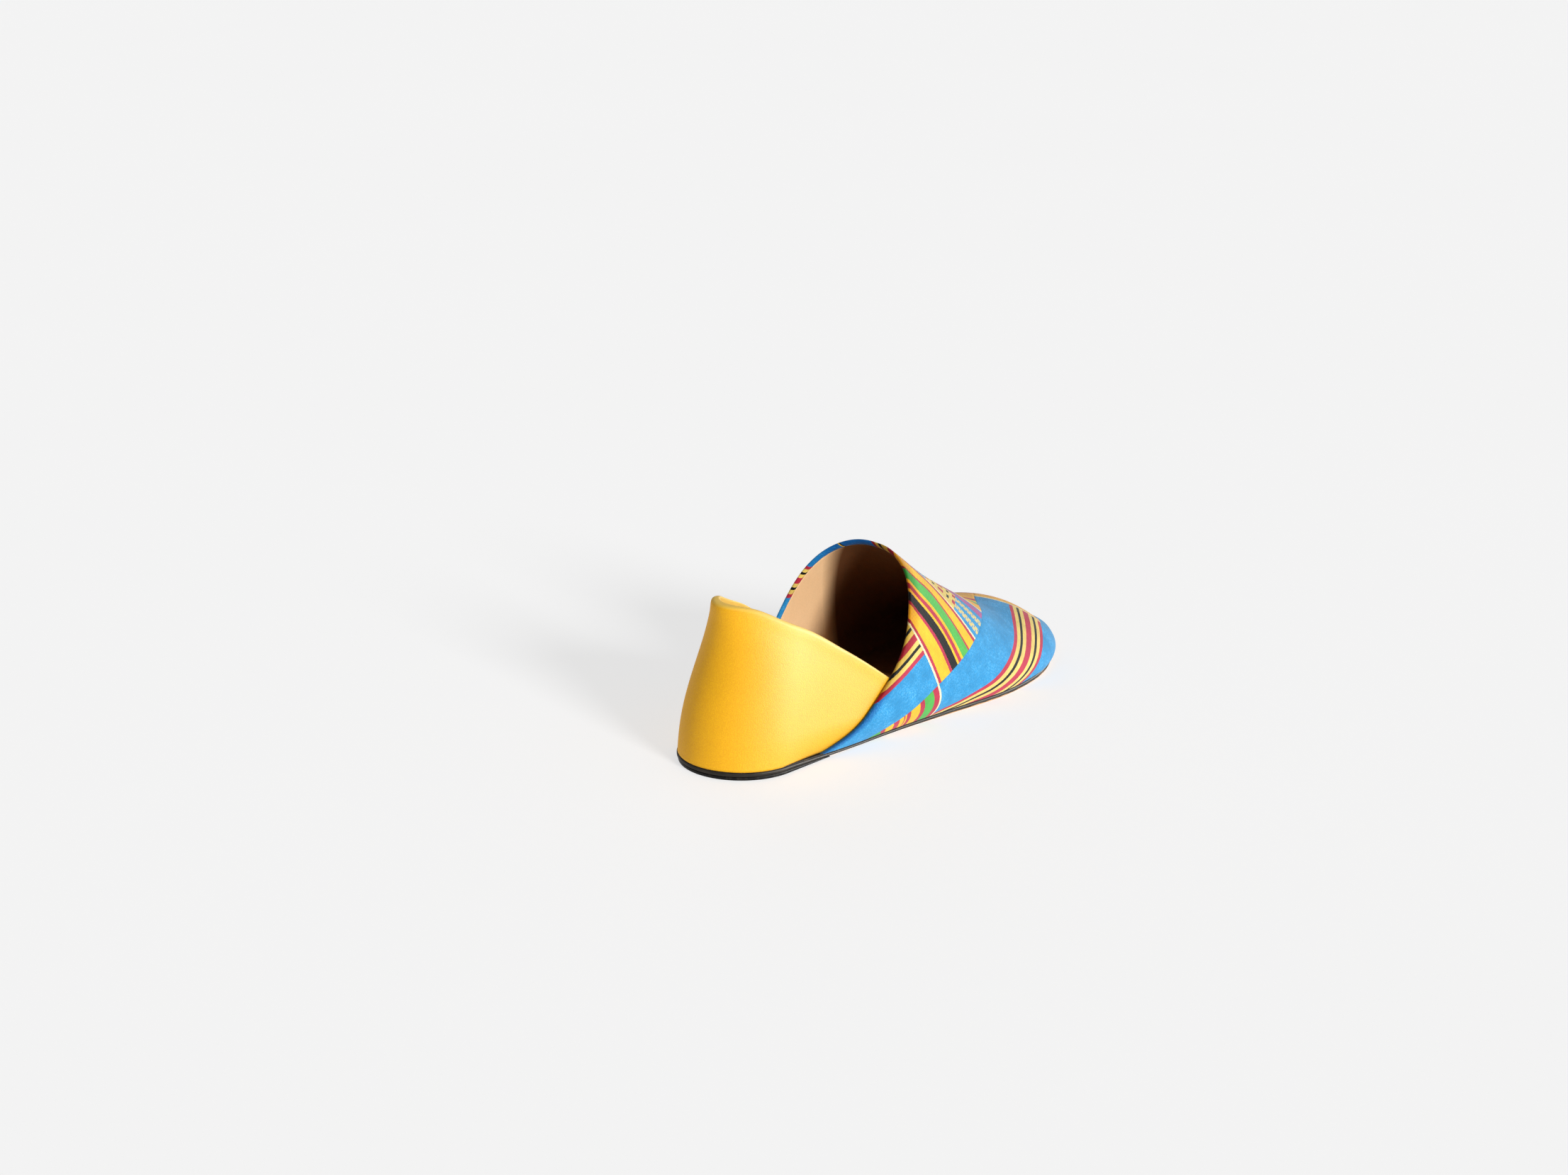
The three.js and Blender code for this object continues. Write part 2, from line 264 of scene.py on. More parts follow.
def last_point(x, turn, inset):
    """A point of the last over the foot: turn runs from 0 at the sole's outer edge over 1 on the ridge to
    2 at the inner edge along a superellipse; inset is the depth below the outer surface."""
    left = toe_share(x, LENGTH + TOE_ROLL - inset)
    base = seat(x)
    power = 2 / section_round(x)
    half_width = (sole_half(x) + upper_flare(x) - inset) * left
    rise = np.maximum(ridge_height(x) - base - inset, 0) * left**TOE_HEIGHT_POWER
    across = np.cos(turn * math.pi / 2)
    up = np.maximum(np.sin(turn * math.pi / 2), 0)
    height = rise * up**power
    reach = np.maximum(half_width * np.abs(across) ** power - tuck(x, height) * left, 0)
    y = middle_line(x) - np.sign(across) * reach
    drawn = (SOLE_TOE_INSET + FEATHER_INSET + TOE_ROLL) * toe_weight(x) * tuck_left(x, height)
    return np.stack([x - drawn, y, base + height], -1)


def hollow_depth(x, height, side):
    """The soft hollow in each side of the back: a round bump drawn inwards, deeper on the inner side."""
    along = (x - HOLLOW_X) / HOLLOW_LENGTH
    above = (height - HOLLOW_Z) / HOLLOW_HEIGHT
    depth = np.where(side < 0, HOLLOW_OUTER, HOLLOW_INNER)
    return depth * np.exp(-(along**2) - above**2)


def back_point(reach, height, side, share, inset):
    """A point of the back: reach is the distance from the heel's middle, side is -1 outside and 1 inside,
    and share is how much of the width is left there. The wall leans forward over the heel, follows the
    last's sections and sinks under the vamp on its way forward."""
    forward = smooth(reach, HEEL_ROUND, BACK_REACH)
    x = reach + (heel_lean(height) + inset * (1 - forward)) * (1 - forward)
    base = seat(x)
    sunk = inset + (VAMP_WALL + GAP) * smooth(x, SINK_START, SINK_END)
    up = np.clip((height - base) / (ridge_height(x) - base - sunk), 0, 1)
    power = section_round(x)
    half_width = (sole_half(x) + upper_flare(x) - sunk) * (1 - up**power) ** (1 / power)
    width = half_width - tuck(x, height - base) - hollow_depth(x, height, side)
    return np.stack([x, middle_line(x) + side * width * share, height], -1)


def vamp_edge(turn):
    """x of the vamp's free edge at a turn, from the outer and the inner side's curves."""
    return np.where(turn < 1, edge_outer(turn), edge_inner(2 - turn))


def even(count):
    """Evenly stepped numbers from 0 to 1."""
    return np.linspace(0, 1, count + 1)


def crowded_ends(count):
    """Numbers from 0 to 1 crowded at both ends: half of one minus a cosine."""
    return (1 - np.cos(even(count) * math.pi)) / 2


def crowded_end(count):
    """Numbers from 0 to 1 crowded at the end: a quarter of a sine."""
    return np.sin(even(count) * math.pi / 2)


# Colours and properties
SCREEN_KNEE = 0.04045
SCREEN_SLOPE = 12.92
SCREEN_LIFT = 0.055
SCREEN_POWER = 2.4


def dye(red, green, blue):
    """A colour in linear light from its values on a screen, 0 to 255."""
    screen = np.array([red, green, blue]) / 255
    curved = ((screen + SCREEN_LIFT) / (1 + SCREEN_LIFT)) ** SCREEN_POWER
    linear = np.where(screen <= SCREEN_KNEE, screen / SCREEN_SLOPE, curved)
    return tuple(float(value) for value in linear)


def colour_property(name, description, default):
    """A colour that a user may change."""
    return FloatVectorProperty(
        name=name, description=description, default=default, size=3, min=0.0, max=1.0, subtype="COLOR"
    )


def length_property(name, description, default):
    """A length that a user may change, in metres."""
    return FloatProperty(name=name, description=description, default=default, min=0.0, unit="LENGTH")


def strength_property(name, description, default, unit="NONE"):
    """A strength of light that a user may change."""
    return FloatProperty(name=name, description=description, default=default, min=0.0, unit=unit)


class MULE_PG_sizes(bpy.types.PropertyGroup):
    """Sizes of the details that lie over the frame."""

    cloth_turned: length_property("Cloth turned in", "How far the cloth is turned over its edge", 0.0008)
    cloth_depth: length_property("Cloth depth", "Thickness of the cloth with its backing", 0.0011)
    back_fold: length_property("Back fold", "How far the back's leather is folded down inside", 0.008)
    back_depth: length_property("Back depth", "Thickness of the back's outer leather", 0.001)
    rim_swell: length_property("Rim swell", "How much the folded top edge of the back stands out", 0.0004)
    rim_plump: length_property("Rim plumpness", "How much thicker the fold is at the heel's middle", 0.003)
    sole_round: length_property("Sole rounding", "Rounding of the sole's edge", 0.0007)
    thread: length_property("Feather thread", "Diameter of the thread between upper and sole", 0.0009)
    cloth_rib: length_property("Weft rib", "Spacing of the ribs in the weft-faced bands", 0.0008)
    leather_grain: length_property("Leather grain", "Size of the back leather's pebbles", 0.00042)


class MULE_PG_colours(bpy.types.PropertyGroup):
    """Colours of the cloth's yarns, the leathers and the sole."""

    blue: colour_property("Blue yarn", "Ground of the cloth", dye(48, 151, 210))
    sky: colour_property("Worn blue", "Rubbed threads of the blue ground", dye(98, 186, 232))
    maroon: colour_property("Maroon yarn", "Stripes and weft bands", dye(196, 56, 82))
    straw: colour_property("Straw yarn", "Pale stripes", dye(240, 212, 120))
    gold: colour_property("Gold yarn", "Weft bands", dye(252, 200, 52))
    black: colour_property("Black yarn", "Thin stripes and one weft band", dye(26, 25, 25))
    green: colour_property("Green yarn", "Weft bands", dye(90, 188, 86))
    cream: colour_property("Cream yarn", "Thin lines at the ends of the weft blocks", dye(250, 238, 196))
    purple: colour_property("Purple yarn", "One thin weft band", dye(186, 104, 160))
    orange: colour_property("Orange yarn", "Weft bands at the top", dye(255, 188, 72))
    back: colour_property("Back leather", "Soft yellow leather", dye(250, 188, 12))
    back_shade: colour_property("Back leather in the grain", "The hollows of its grain", dye(240, 172, 8))
    # Painted light: a paler yellow on the back's folded top edge and on the fold's inner face, where light
    # falls on them.
    back_painted_light: colour_property("Back leather, painted light", "Its folded top edge", dye(255, 214, 92))
    lining: colour_property("Lining leather", "Tan lining of the vamp and the back", dye(250, 209, 160))
    lining_shade: colour_property("Lining mottle", "Darker places of the lining", dye(246, 203, 153))
    # Painted shade: a dark brown laid over the linings and the insole from the collar towards the toe, where
    # the vamp shades them.
    lining_painted_shade: colour_property("Lining painted shade", "Dark part of the lining near the toe", dye(92, 58, 34))
    edge: colour_property("Sole edge", "Dyed edge of the sole", dye(58, 53, 46))
    edge_dark: colour_property("Sole edge, dark", "Dark places of the dyed edge", dye(26, 24, 22))
    natural: colour_property("Sole underside", "Natural leather", dye(214, 166, 116))
    lift: colour_property("Heel lift", "Waxed pad under the heel", dye(20, 19, 19))
    thread_dark: colour_property("Thread", "Waxed thread along the feather line", dye(30, 27, 24))
    thread_light: colour_property("Thread specks", "Bare fibres of the thread", dye(150, 120, 70))


class MULE_PG_stage(bpy.types.PropertyGroup):
    """The floor and the light."""

    floor: colour_property("Floor", "Colour of the plain floor", (0.45, 0.45, 0.45))
    glow: strength_property("Glow", "Light that comes through the floor", 0.62)
    sky: strength_property("Sky", "Strength of the light from all around", 0.3)
    key: strength_property("Key", "Strength of the large soft light", 2.7)
    fill: strength_property("Fill", "Strength of the second soft light", 0.25)
    card: strength_property("Card", "Power of the card that shows as gloss", 250.0, "POWER")


# Meshes


def new_object(name, rings, faces, material, layer=None, values=None):
    """An object from rings of points and its faces, with a point attribute if one is named, doubles
    merged, faces turned outwards and shaded smooth."""
    mesh = bpy.data.meshes.new(name)
    points = (rings.reshape(-1, 3) - BOX_MIDDLE) * METRES
    mesh.from_pydata(points.tolist(), [], faces.tolist())
    if layer:
        attribute = mesh.attributes.new(layer, "FLOAT_VECTOR", "POINT")
        attribute.data.foreach_set("vector", np.ascontiguousarray(values, np.float32).ravel())
    work = bmesh.new()
    work.from_mesh(mesh)
    bmesh.ops.remove_doubles(work, verts=work.verts, dist=MERGE_DISTANCE)
    bmesh.ops.dissolve_degenerate(work, edges=work.edges, dist=MERGE_DISTANCE)
    bmesh.ops.recalc_face_normals(work, faces=work.faces)
    work.to_mesh(mesh)
    work.free()
    mesh.shade_smooth()
    mesh.materials.append(material)
    piece = bpy.data.objects.new(name, mesh)
    bpy.context.collection.objects.link(piece)
    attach(piece, BODY)
    return piece


def ring_faces(rows, size, closed_rows=False):
    """Four-cornered faces over rows of closed rings; closed_rows joins the last row to the first."""
    last = rows if closed_rows else rows - 1
    row, k = np.meshgrid(np.arange(last), np.arange(size), indexing="ij")
    after = (row + 1) % rows
    beside = (k + 1) % size
    corners = [row * size + k, row * size + beside, after * size + beside, after * size + k]
    return np.stack([corner.ravel() for corner in corners], -1)


def hairpin_caps(rows, size):
    """Faces that close the two ends of a wall, joining the two halves of its first and its last ring."""
    k = np.arange(size // 2 - 1)
    first = np.stack([size - 1 - k, size - 2 - k, k + 1, k], -1)
    end = (rows - 1) * size
    last = np.stack([end + k, end + k + 1, end + size - 2 - k, end + size - 1 - k], -1)
    return np.concatenate([first, last])


def wall(name, rings, material, capped, layer=None, values=None):
    """A closed wall over rings, each of which runs out along one face and back along the other."""
    rows, size = rings.shape[:2]
    faces = ring_faces(rows, size)
    if capped:
        faces = np.concatenate([faces, hairpin_caps(rows, size)])
    return new_object(name, rings, faces, material, layer, values)


def arc_lengths(places):
    """Lengths along rows of points, from the first point of each row."""
    steps = np.linalg.norm(np.diff(places, axis=-2), axis=-1)
    start = np.zeros(steps.shape[:-1] + (1,))
    return np.concatenate([start, np.cumsum(steps, -1)], -1)


def unit(vectors):
    """Vectors of length one in the same directions."""
    return vectors / np.maximum(np.linalg.norm(vectors, axis=-1, keepdims=True), MERGE_DISTANCE)


def between(table, row, column):
    """Values of a table at fractional rows and columns, by straight lines between its four neighbours."""
    i = np.clip(row.astype(int), 0, table.shape[0] - 2)
    j = np.clip(column.astype(int), 0, table.shape[1] - 2)
    s = row - i
    t = column - j
    near = table[i, j] * (1 - t) + table[i, j + 1] * t
    far = table[i + 1, j] * (1 - t) + table[i + 1, j + 1] * t
    return near * (1 - s) + far * s


# The lay of the cloth: lines that are straight on the cloth, measured on the flattened last. The strips
# X, Y, Z, A and B follow each other from the inner side over the instep to the outer side.
CLOTH_START = 100.0
WARP_ALONG = 0.656
WARP_ACROSS = -0.755
WEFT_ALONG = 0.87
WEFT_ACROSS = 0.49
REAR_BEND = 0.008
REAR_BEND_START = 10.0
SEAM_YX = -71.0
SEAM_ZY = -1.0
SEAM_AZ = 29.0
SEAM_AB = 83.0
SEAMS = (SEAM_YX, SEAM_ZY, SEAM_AZ, SEAM_AB)
GROUP_B = 111.2
INSTEP_PULL = 0.24
INSTEP_PULL_MIDDLE = 1.0
INSTEP_PULL_WIDTH = 22.0
INSTEP_PULL_LOW_WIDTH = 15.0
INSTEP_PULL_REACH = 50.0
INSTEP_PULL_START = 6.0
INSTEP_PULL_FULL = 40.0
RIM_PULL = 5.2
RIM_PULL_START = 28.0
RIM_PULL_FULL = 50.0
RIM_PULL_LOW = 3.0
RIM_PULL_HIGH = 17.0
FEATHER_PULL = 0.034
FEATHER_PULL_END = -15.0
FEATHER_PULL_MOST = 16.0

# The middle of the toe's group of stripes on the lasted cloth: the weft's place p, and its q there.
TOE_LINE = np.array(
    [(-30, 103.5), (-10, 105.3), (1, 107.2), (10, 108.4), (19.5, 110.2), (28.5, 112.4), (38, 113.8)]
    + [(50, 114.2), (60, 113.9), (70, 113.2), (82, 112.0), (97, 110.8), (109, 110.0)]
)
toe_line = curves(TOE_LINE)[0]


def cloth_place(x, turn):
    """Where a point of the vamp lies on the flat cloth, p along the strips and q across them: along is the
    length along the ridge, across the length over the section from the ridge, and both are turned by the
    bias of the strips. The weft lines are pulled back over the instep and at the rim, and the toe's stripes
    follow their charted line, as the cloth was lasted."""
    places = np.linspace(0, LENGTH + TOE_ROLL, ARC_PLACES)
    turns = np.linspace(0, 2, ARC_TURNS)
    grid_x, grid_turn = np.meshgrid(places, turns, indexing="ij")
    over = arc_lengths(last_point(grid_x, grid_turn, 0.0))
    over = over - over[:, ARC_TURNS // 2][:, None]
    ridge = arc_lengths(last_point(places, np.ones_like(places), 0.0))
    ridge = ridge - np.interp(CLOTH_START, places, ridge)
    along = np.where(x < CLOTH_START, x - CLOTH_START, np.interp(x, places, ridge))
    row = np.clip(x, 0, places[-1]) / places[-1] * (ARC_PLACES - 1)
    column = np.clip(turn, 0, 2) / 2 * (ARC_TURNS - 1)
    across = between(over, row, column)
    q = WARP_ALONG * along + WARP_ACROSS * across
    q = q + REAR_BEND * np.maximum(REAR_BEND_START - along, 0) ** 2
    p = WEFT_ALONG * along + WEFT_ACROSS * across
    inner = np.clip(SEAM_AB - q, 0, INSTEP_PULL_REACH)
    at_rim = smooth(inner, RIM_PULL_START, RIM_PULL_FULL) * smooth(p, RIM_PULL_LOW, RIM_PULL_HIGH)
    inner = inner * smooth(inner, INSTEP_PULL_START, INSTEP_PULL_FULL)
    width = np.where(p < INSTEP_PULL_MIDDLE, INSTEP_PULL_LOW_WIDTH, INSTEP_PULL_WIDTH)
    pulled = INSTEP_PULL * inner * np.exp(-(((p - INSTEP_PULL_MIDDLE) / width) ** 2)) + RIM_PULL * at_rim
    beyond = np.maximum(q - SEAM_AB, 0)
    drawn = np.minimum(FEATHER_PULL * beyond**2, FEATHER_PULL_MOST) * (1 - smooth(p, FEATHER_PULL_END, 0))
    eased = beyond * ((GROUP_B - SEAM_AB) / (toe_line(p) - SEAM_AB) - 1)
    return p + pulled + drawn, q + eased


def vamp_shell(start, outer, inner, turned, turned_inset):
    """Rings of a shell over the vamp: each runs over the outer face from side to side and back along the
    inner face. The first rows go round the free edge on a half circle, start behind the edge line, and the
    inner face lies at turned_inset as far as turned. Also gives x along the cloth for every point, which
    runs on over the edge and back along the inner face, and the turn of every point."""
    turns = 2 * crowded_ends(VAMP_TURNS)
    tip = vamp_edge(turns) + start
    half = (turned_inset - outer) / 2
    body = tip + half
    over_edge = body - half * math.pi
    near = body + VAMP_NEAR
    rows = []
    for angle in even(VAMP_RIM_ROWS)[:-1] * math.pi / 2:
        x = tip + half * (1 - math.cos(angle))
        lift = half * math.sin(angle)
        behind = half * (math.pi / 2 - angle)
        rows.append((x, outer + half - lift, x, outer + half + lift, body - behind, over_edge + behind))
    for distance in even(VAMP_NEAR_ROWS) * VAMP_NEAR:
        depth = turned_inset + (inner - turned_inset) * float(smooth(distance, turned, turned + GAP))
        x = body + distance
        rows.append((x, outer, x, depth, x, over_edge - distance))
    for share in crowded_end(VAMP_ROWS)[1:]:
        out = near + share * (LENGTH + TOE_ROLL - outer - near)
        back = near + share * (LENGTH + TOE_ROLL - inner - near)
        rows.append((out, outer, back, inner, out, over_edge - VAMP_NEAR))
    rings = []
    along = []
    for x, depth, under, inset, laid, laid_under in rows:
        rings.append(np.concatenate([last_point(x, turns, depth), last_point(under, turns, inset)[::-1]]))
        along.append(np.concatenate([laid, laid_under[::-1]]))
    return np.array(rings), np.array(along), np.concatenate([turns, turns[::-1]])


def back_path():
    """Places round the back from the outer front over the heel to the inner front: reach, side and share
    of the width, with a half ellipse round the heel."""
    angle = np.linspace(-math.pi / 2, math.pi / 2, 2 * BACK_HEEL_STEPS + 1)
    sides = HEEL_ROUND + even(BACK_SIDE_STEPS)[1:] * (BACK_REACH - HEEL_ROUND)
    full = np.ones_like(sides)
    reach = np.concatenate([sides[::-1], HEEL_ROUND * (1 - np.cos(angle)), sides])
    share = np.concatenate([full, np.abs(np.sin(angle)), full])
    side = np.concatenate([-full, np.where(angle < 0, -1.0, 1.0), full])
    return reach, side, share


def back_shell(lowered, outer, inner, folded, folded_inset, swell, plump):
    """Rings of a wall round the heel: up the outer face, over a half round top edge that lies lowered
    under the topline, and down the inner face, which stays at folded_inset as far as folded. The outer
    face swells a little towards its folded top edge, and the fold is plumper and flatter on top at the
    middle of the heel, by a power of the sine and cosine of its half round: both fade with the square of a
    distance in an exponential. Also gives the length round the heel, the height and the distance under the
    top edge, which is negative inside."""
    reach, side, share = back_path()
    top = np.where(side < 0, top_outer(reach), top_inner(reach)) - lowered
    base = seat(reach)
    heel = np.exp(-((share / FOLD_PLUMP_SHARE) ** 2))
    fuller = plump * heel
    power = (1 - FOLD_SQUARE * heel)[:, None]
    front = outer - swell
    half = (folded_inset + fuller - front) / 2
    shoulder = top - half
    up = base[:, None] + even(BACK_ROWS)[None, :] * (shoulder - base)[:, None]
    angle = even(BACK_RIM_ROWS + 1)[1:-1] * math.pi
    over = shoulder[:, None] + half[:, None] * np.sin(angle)[None, :] ** power
    heights = np.concatenate([up, over, up[:, ::-1]], 1)
    below = shoulder[:, None] - up
    bulge = swell * np.exp(-((below / FOLD_SWELL_REACH) ** 2))
    under = (top - (folded_inset - outer) / 2)[:, None] - up
    inward = folded_inset + (inner - folded_inset) * smooth(under, folded, folded + GAP)
    inward = inward + fuller[:, None] * (1 - smooth(below, 0, FOLD_PLUMP_REACH))
    level = np.cos(angle)[None, :]
    turn = front + half[:, None] * (1 - np.sign(level) * np.abs(level) ** power)
    insets = np.concatenate([outer - bulge, turn, inward[:, ::-1]], 1)
    shape = heights.shape
    column = [np.broadcast_to(values[:, None], shape) for values in (reach, side, share)]
    rings = back_point(column[0], heights, column[1], column[2], insets)
    length = np.broadcast_to(arc_lengths(rings[:, 0, :])[:, None], shape)
    outside = np.where(np.arange(shape[1]) < shape[1] // 2, 1.0, -1.0)
    return rings, np.stack([length, heights, (top[:, None] - heights) * outside], -1)


def outline(start, end, half):
    """A closed outline in plan: from the toe's end along the outer side to the heel and back along the
    inner side, crowded at both ends, with its middle line and outward normals."""
    x = start + (end - start) * crowded_ends(OUTLINE_STEPS)
    middle = middle_line(x)
    centre = np.stack([x, middle], -1)
    outer = np.stack([x, middle - half(x)], -1)
    inner = np.stack([x, middle + half(x)], -1)
    loop = np.concatenate([outer[::-1], inner[1:-1]])
    spine = np.concatenate([centre[::-1], centre[1:-1]])
    tangent = unit(np.roll(loop, -1, 0) - np.roll(loop, 1, 0))
    return loop, spine, np.stack([-tangent[:, 1], tangent[:, 0]], -1)


def plate(name, shape, bottom, top, rounding, crown, material):
    """A sheet of leather in an outline: from the spine out over the underside, round the edge on two
    quarter circles, and back over the upper side, which rises by crown at the spine. Its lay holds the
    length along the outline, the share of the edge's height and the distance from the edge."""
    loop, spine, normal = shape
    inside = loop - normal * rounding
    length = arc_lengths(loop)
    width = np.linalg.norm(inside - spine, axis=-1)
    low = bottom(loop[:, 0])
    high = top(loop[:, 0])
    bend = np.minimum(rounding, (high - low) / 2)
    rings = []
    lay = []

    def add(flat, height, share, distance):
        rings.append(np.concatenate([flat, height[:, None]], -1))
        lay.append(np.stack(np.broadcast_arrays(length, share, distance), -1))

    for share in even(PLATE_FACE_STEPS)[:-1]:
        flat = spine + share * (inside - spine)
        add(flat, bottom(flat[:, 0]), 0.0, width * (1 - share))
    for angle in (even(2 * PLATE_EDGE_STEPS + 1) - 0.5) * math.pi:
        lower = low + bend * (1 + math.sin(angle))
        upper = high - bend * (1 - math.sin(angle))
        height = lower if angle < 0 else upper
        share = (height - low) / np.maximum(high - low, MERGE_DISTANCE)
        add(inside + normal * rounding * math.cos(angle), height, share, 0.0)
    for share in even(PLATE_FACE_STEPS)[:-1][::-1]:
        flat = spine + share * (inside - spine)
        add(flat, top(flat[:, 0]) + crown * (1 - share**2), 1.0, width * (1 - share))
    rings = np.array(rings)
    faces = ring_faces(*rings.shape[:2])
    return new_object(name, rings, faces, material, "lay", np.array(lay))


def tube(name, path, radius, material):
    """A round thread along a closed path: a circle carried along it. Its lay holds the length along the
    path and the angle round it."""
    tangent = unit(np.roll(path, -1, 0) - np.roll(path, 1, 0))
    side = unit(np.stack([-tangent[:, 1], tangent[:, 0], np.zeros(len(path))], -1))
    upward = np.cross(side, tangent)
    angle = even(THREAD_SIDES)[:-1] * 2 * math.pi
    sideways = side[:, None, :] * np.cos(angle)[None, :, None]
    up = upward[:, None, :] * np.sin(angle)[None, :, None]
    rings = path[:, None, :] + radius * (sideways + up)
    lay = np.stack(np.broadcast_arrays(arc_lengths(path)[:, None], angle[None, :], 0.0), -1)
    faces = ring_faces(len(path), THREAD_SIDES, closed_rows=True)
    return new_object(name, rings, faces, material, "lay", lay)


# Materials


def solid(colour):
    """A colour with full cover."""
    return (*colour, 1.0)


class Surface:
    """A material in the making: its node tree, its surface shader and short ways to add nodes."""

    def __init__(self, name):
        self.material = bpy.data.materials.new(name)
        self.material.use_nodes = True
        self.tree = self.material.node_tree
        self.tree.nodes.clear()
        self.shader = self.node("ShaderNodeBsdfPrincipled")
        self.node("ShaderNodeOutputMaterial", {"Surface": self.shader.outputs["BSDF"]})

    def feed(self, made, inputs):
        """Sets a node's inputs to values or links them to sockets."""
        for key, value in inputs.items():
            if isinstance(value, bpy.types.NodeSocket):
                self.tree.links.new(value, made.inputs[key])
            else:
                made.inputs[key].default_value = value

    def node(self, kind, inputs=None, **settings):
        """A new node with its settings and inputs."""
        made = self.tree.nodes.new(kind)
        for key, value in settings.items():
            setattr(made, key, value)
        self.feed(made, inputs or {})
        return made

    def calc(self, operation, *values):
        """The result of a Math node."""
        return self.node("ShaderNodeMath", dict(enumerate(values)), operation=operation).outputs[0]

    def times(self, first, second):
        """The product of two values."""
        return self.calc("MULTIPLY", first, second)

    def mixed(self, factor, first, second):
        """Two values mixed by a factor."""
        return self.node("ShaderNodeMix", {0: factor, 2: first, 3: second}).outputs[0]

    def blend(self, factor, first, second):
        """Two colours mixed by a factor."""
        ends = [end if isinstance(end, bpy.types.NodeSocket) else solid(end) for end in (first, second)]
        made = self.node("ShaderNodeMix", {0: factor, 6: ends[0], 7: ends[1]}, data_type="RGBA")
        return made.outputs[2]

    def spread(self, value, low, high, to_low=0.0, to_high=1.0):
        """A value carried from one range to another and kept inside it."""
        inputs = {"Value": value, "From Min": low, "From Max": high, "To Min": to_low, "To Max": to_high}
        return self.node("ShaderNodeMapRange", inputs).outputs["Result"]

    def noise(self, vector, scale=1.0, detail=2.0, roughness=0.5):
        """Soft random values around a half."""
        inputs = {"Vector": vector, "Scale": scale, "Detail": detail, "Roughness": roughness}
        return self.node("ShaderNodeTexNoise", inputs).outputs["Fac"]

    def vary(self, noise, limits):
        """A noise carried to the range between two limits."""
        return self.spread(noise, *NOISE_RANGE, *limits)

    def inside(self, value, low, high):
        """1 where a value lies between two others, else 0."""
        return self.times(self.calc("GREATER_THAN", value, low), self.calc("LESS_THAN", value, high))

    def scaled(self, vector, factor):
        """A vector or a colour times a value."""
        return self.node("ShaderNodeVectorMath", {0: vector, 3: factor}, operation="SCALE").outputs[0]

    def stretched(self, vector, factors):
        """A vector times a factor for each axis."""
        return self.node("ShaderNodeVectorMath", {0: vector, 1: factors}, operation="MULTIPLY").outputs[0]

    def axes(self, vector):
        """The three parts of a vector."""
        return list(self.node("ShaderNodeSeparateXYZ", {"Vector": vector}).outputs)

    def attribute(self, name):
        """A point attribute of the piece."""
        return self.node("ShaderNodeAttribute", attribute_name=name).outputs["Vector"]

    def places(self):
        """Object coordinates in millimetres."""
        return self.scaled(self.node("ShaderNodeTexCoord").outputs["Object"], 1 / METRES)

    def finish(self, colour, roughness, gloss, height, bump, others=None):
        """Feeds the shader, with a normal from a height and its bump, and gives the material."""
        inputs = {"Height": height, "Distance": bump[0], "Strength": bump[1]}
        normal = self.node("ShaderNodeBump", inputs).outputs["Normal"]
        self.feed(self.shader, {"Base Color": colour, "Roughness": roughness, "Normal": normal})
        self.feed(self.shader, {"Specular IOR Level": gloss, **(others or {})})
        return self.material


def banded(look, place, bands, colours):
    """Bands of yarn along a place: a ramp of constant steps that spans just these bands, because a ramp
    is read at a fixed number of steps. Each band is its start and its yarn's name; None leaves the cover
    at nought, as before the first band. Gives the colour and the cover."""
    low = bands[0][0] - BAND_MARGIN
    high = bands[-1][0] + BAND_MARGIN
    ramp = look.node("ShaderNodeValToRGB", {"Fac": look.spread(place, low, high)})
    ramp.color_ramp.interpolation = "CONSTANT"
    steps = ramp.color_ramp.elements
    steps.remove(steps[1])
    steps[0].position = 0.0
    steps[0].color = NO_YARN
    for start, yarn in bands:
        step = steps.new((start - low) / (high - low))
        step.color = NO_YARN if yarn is None else solid(getattr(colours, yarn))
    return ramp.outputs["Color"], ramp.outputs["Alpha"]


def joined(look, place, first, second, colours, share):
    """Two blocks of bands in the same strip, the second one by its share. Gives the colour and the cover."""
    colour, cover = banded(look, place, first, colours)
    next_colour, next_cover = banded(look, place, second, colours)
    next_cover = look.times(next_cover, share)
    return look.blend(next_cover, colour, next_colour), look.calc("MAXIMUM", cover, next_cover)


# The chart of the cloth, in millimetres on the flat cloth: warp stripes by q, weft bands by p. Each entry
# is where a yarn starts; None goes back to the ground. BLOCK and the groups of stripes start at their own
# nought and are moved to their places.
BAND_MARGIN = 0.5
NO_YARN = (0.0, 0.0, 0.0, 0.0)
STRIPES = (
    *((-9.95, "maroon"), (-7.85, "straw"), (-5.6, "black"), (-4.05, "straw"), (-1.8, "maroon")),
    *((1.8, "straw"), (4.05, "black"), (5.6, "straw"), (7.85, "maroon"), (9.95, None)),
)
HALF_STRIPES = (
    *((0.0, "maroon"), (1.8, "straw"), (3.5, "black"), (5.0, "straw"), (8.0, "maroon"), (11.5, None)),
)
TICK = ((0.0, "straw"), (0.8, "black"), (1.6, None))
BLOCK = (
    *((0.0, "cream"), (1.7, "maroon"), (4.1, "gold"), (15.0, "maroon"), (17.8, "black"), (24.6, "gold")),
    *((26.7, "maroon"), (30.1, "gold"), (32.4, "green"), (39.9, "maroon"), (41.4, "gold")),
    *((48.6, "maroon"), (51.0, "cream"), (52.4, None)),
)
TOP_BLOCK = (
    *((57.0, "purple"), (64.5, None), (66.5, "cream"), (68.5, "orange"), (84.0, "maroon")),
    *((85.5, "green"), (95.0, "gold"), (101.0, "maroon"), (106.0, "orange"), (122.0, "maroon")),
    *((124.5, "cream"), (126.0, None)),
)
SIDE_BLOCK = (
    *((-71.6, "green"), (-63.0, "maroon"), (-60.0, "gold"), (-54.8, "maroon"), (-51.0, "gold")),
    *((-47.8, "maroon"), (-47.0, "gold"), (-45.9, "maroon"), (-42.6, "gold"), (-34.9, "maroon")),
    *((-31.0, "green"), (-22.0, "maroon"), (-16.6, "cream"), (-14.8, None)),
)
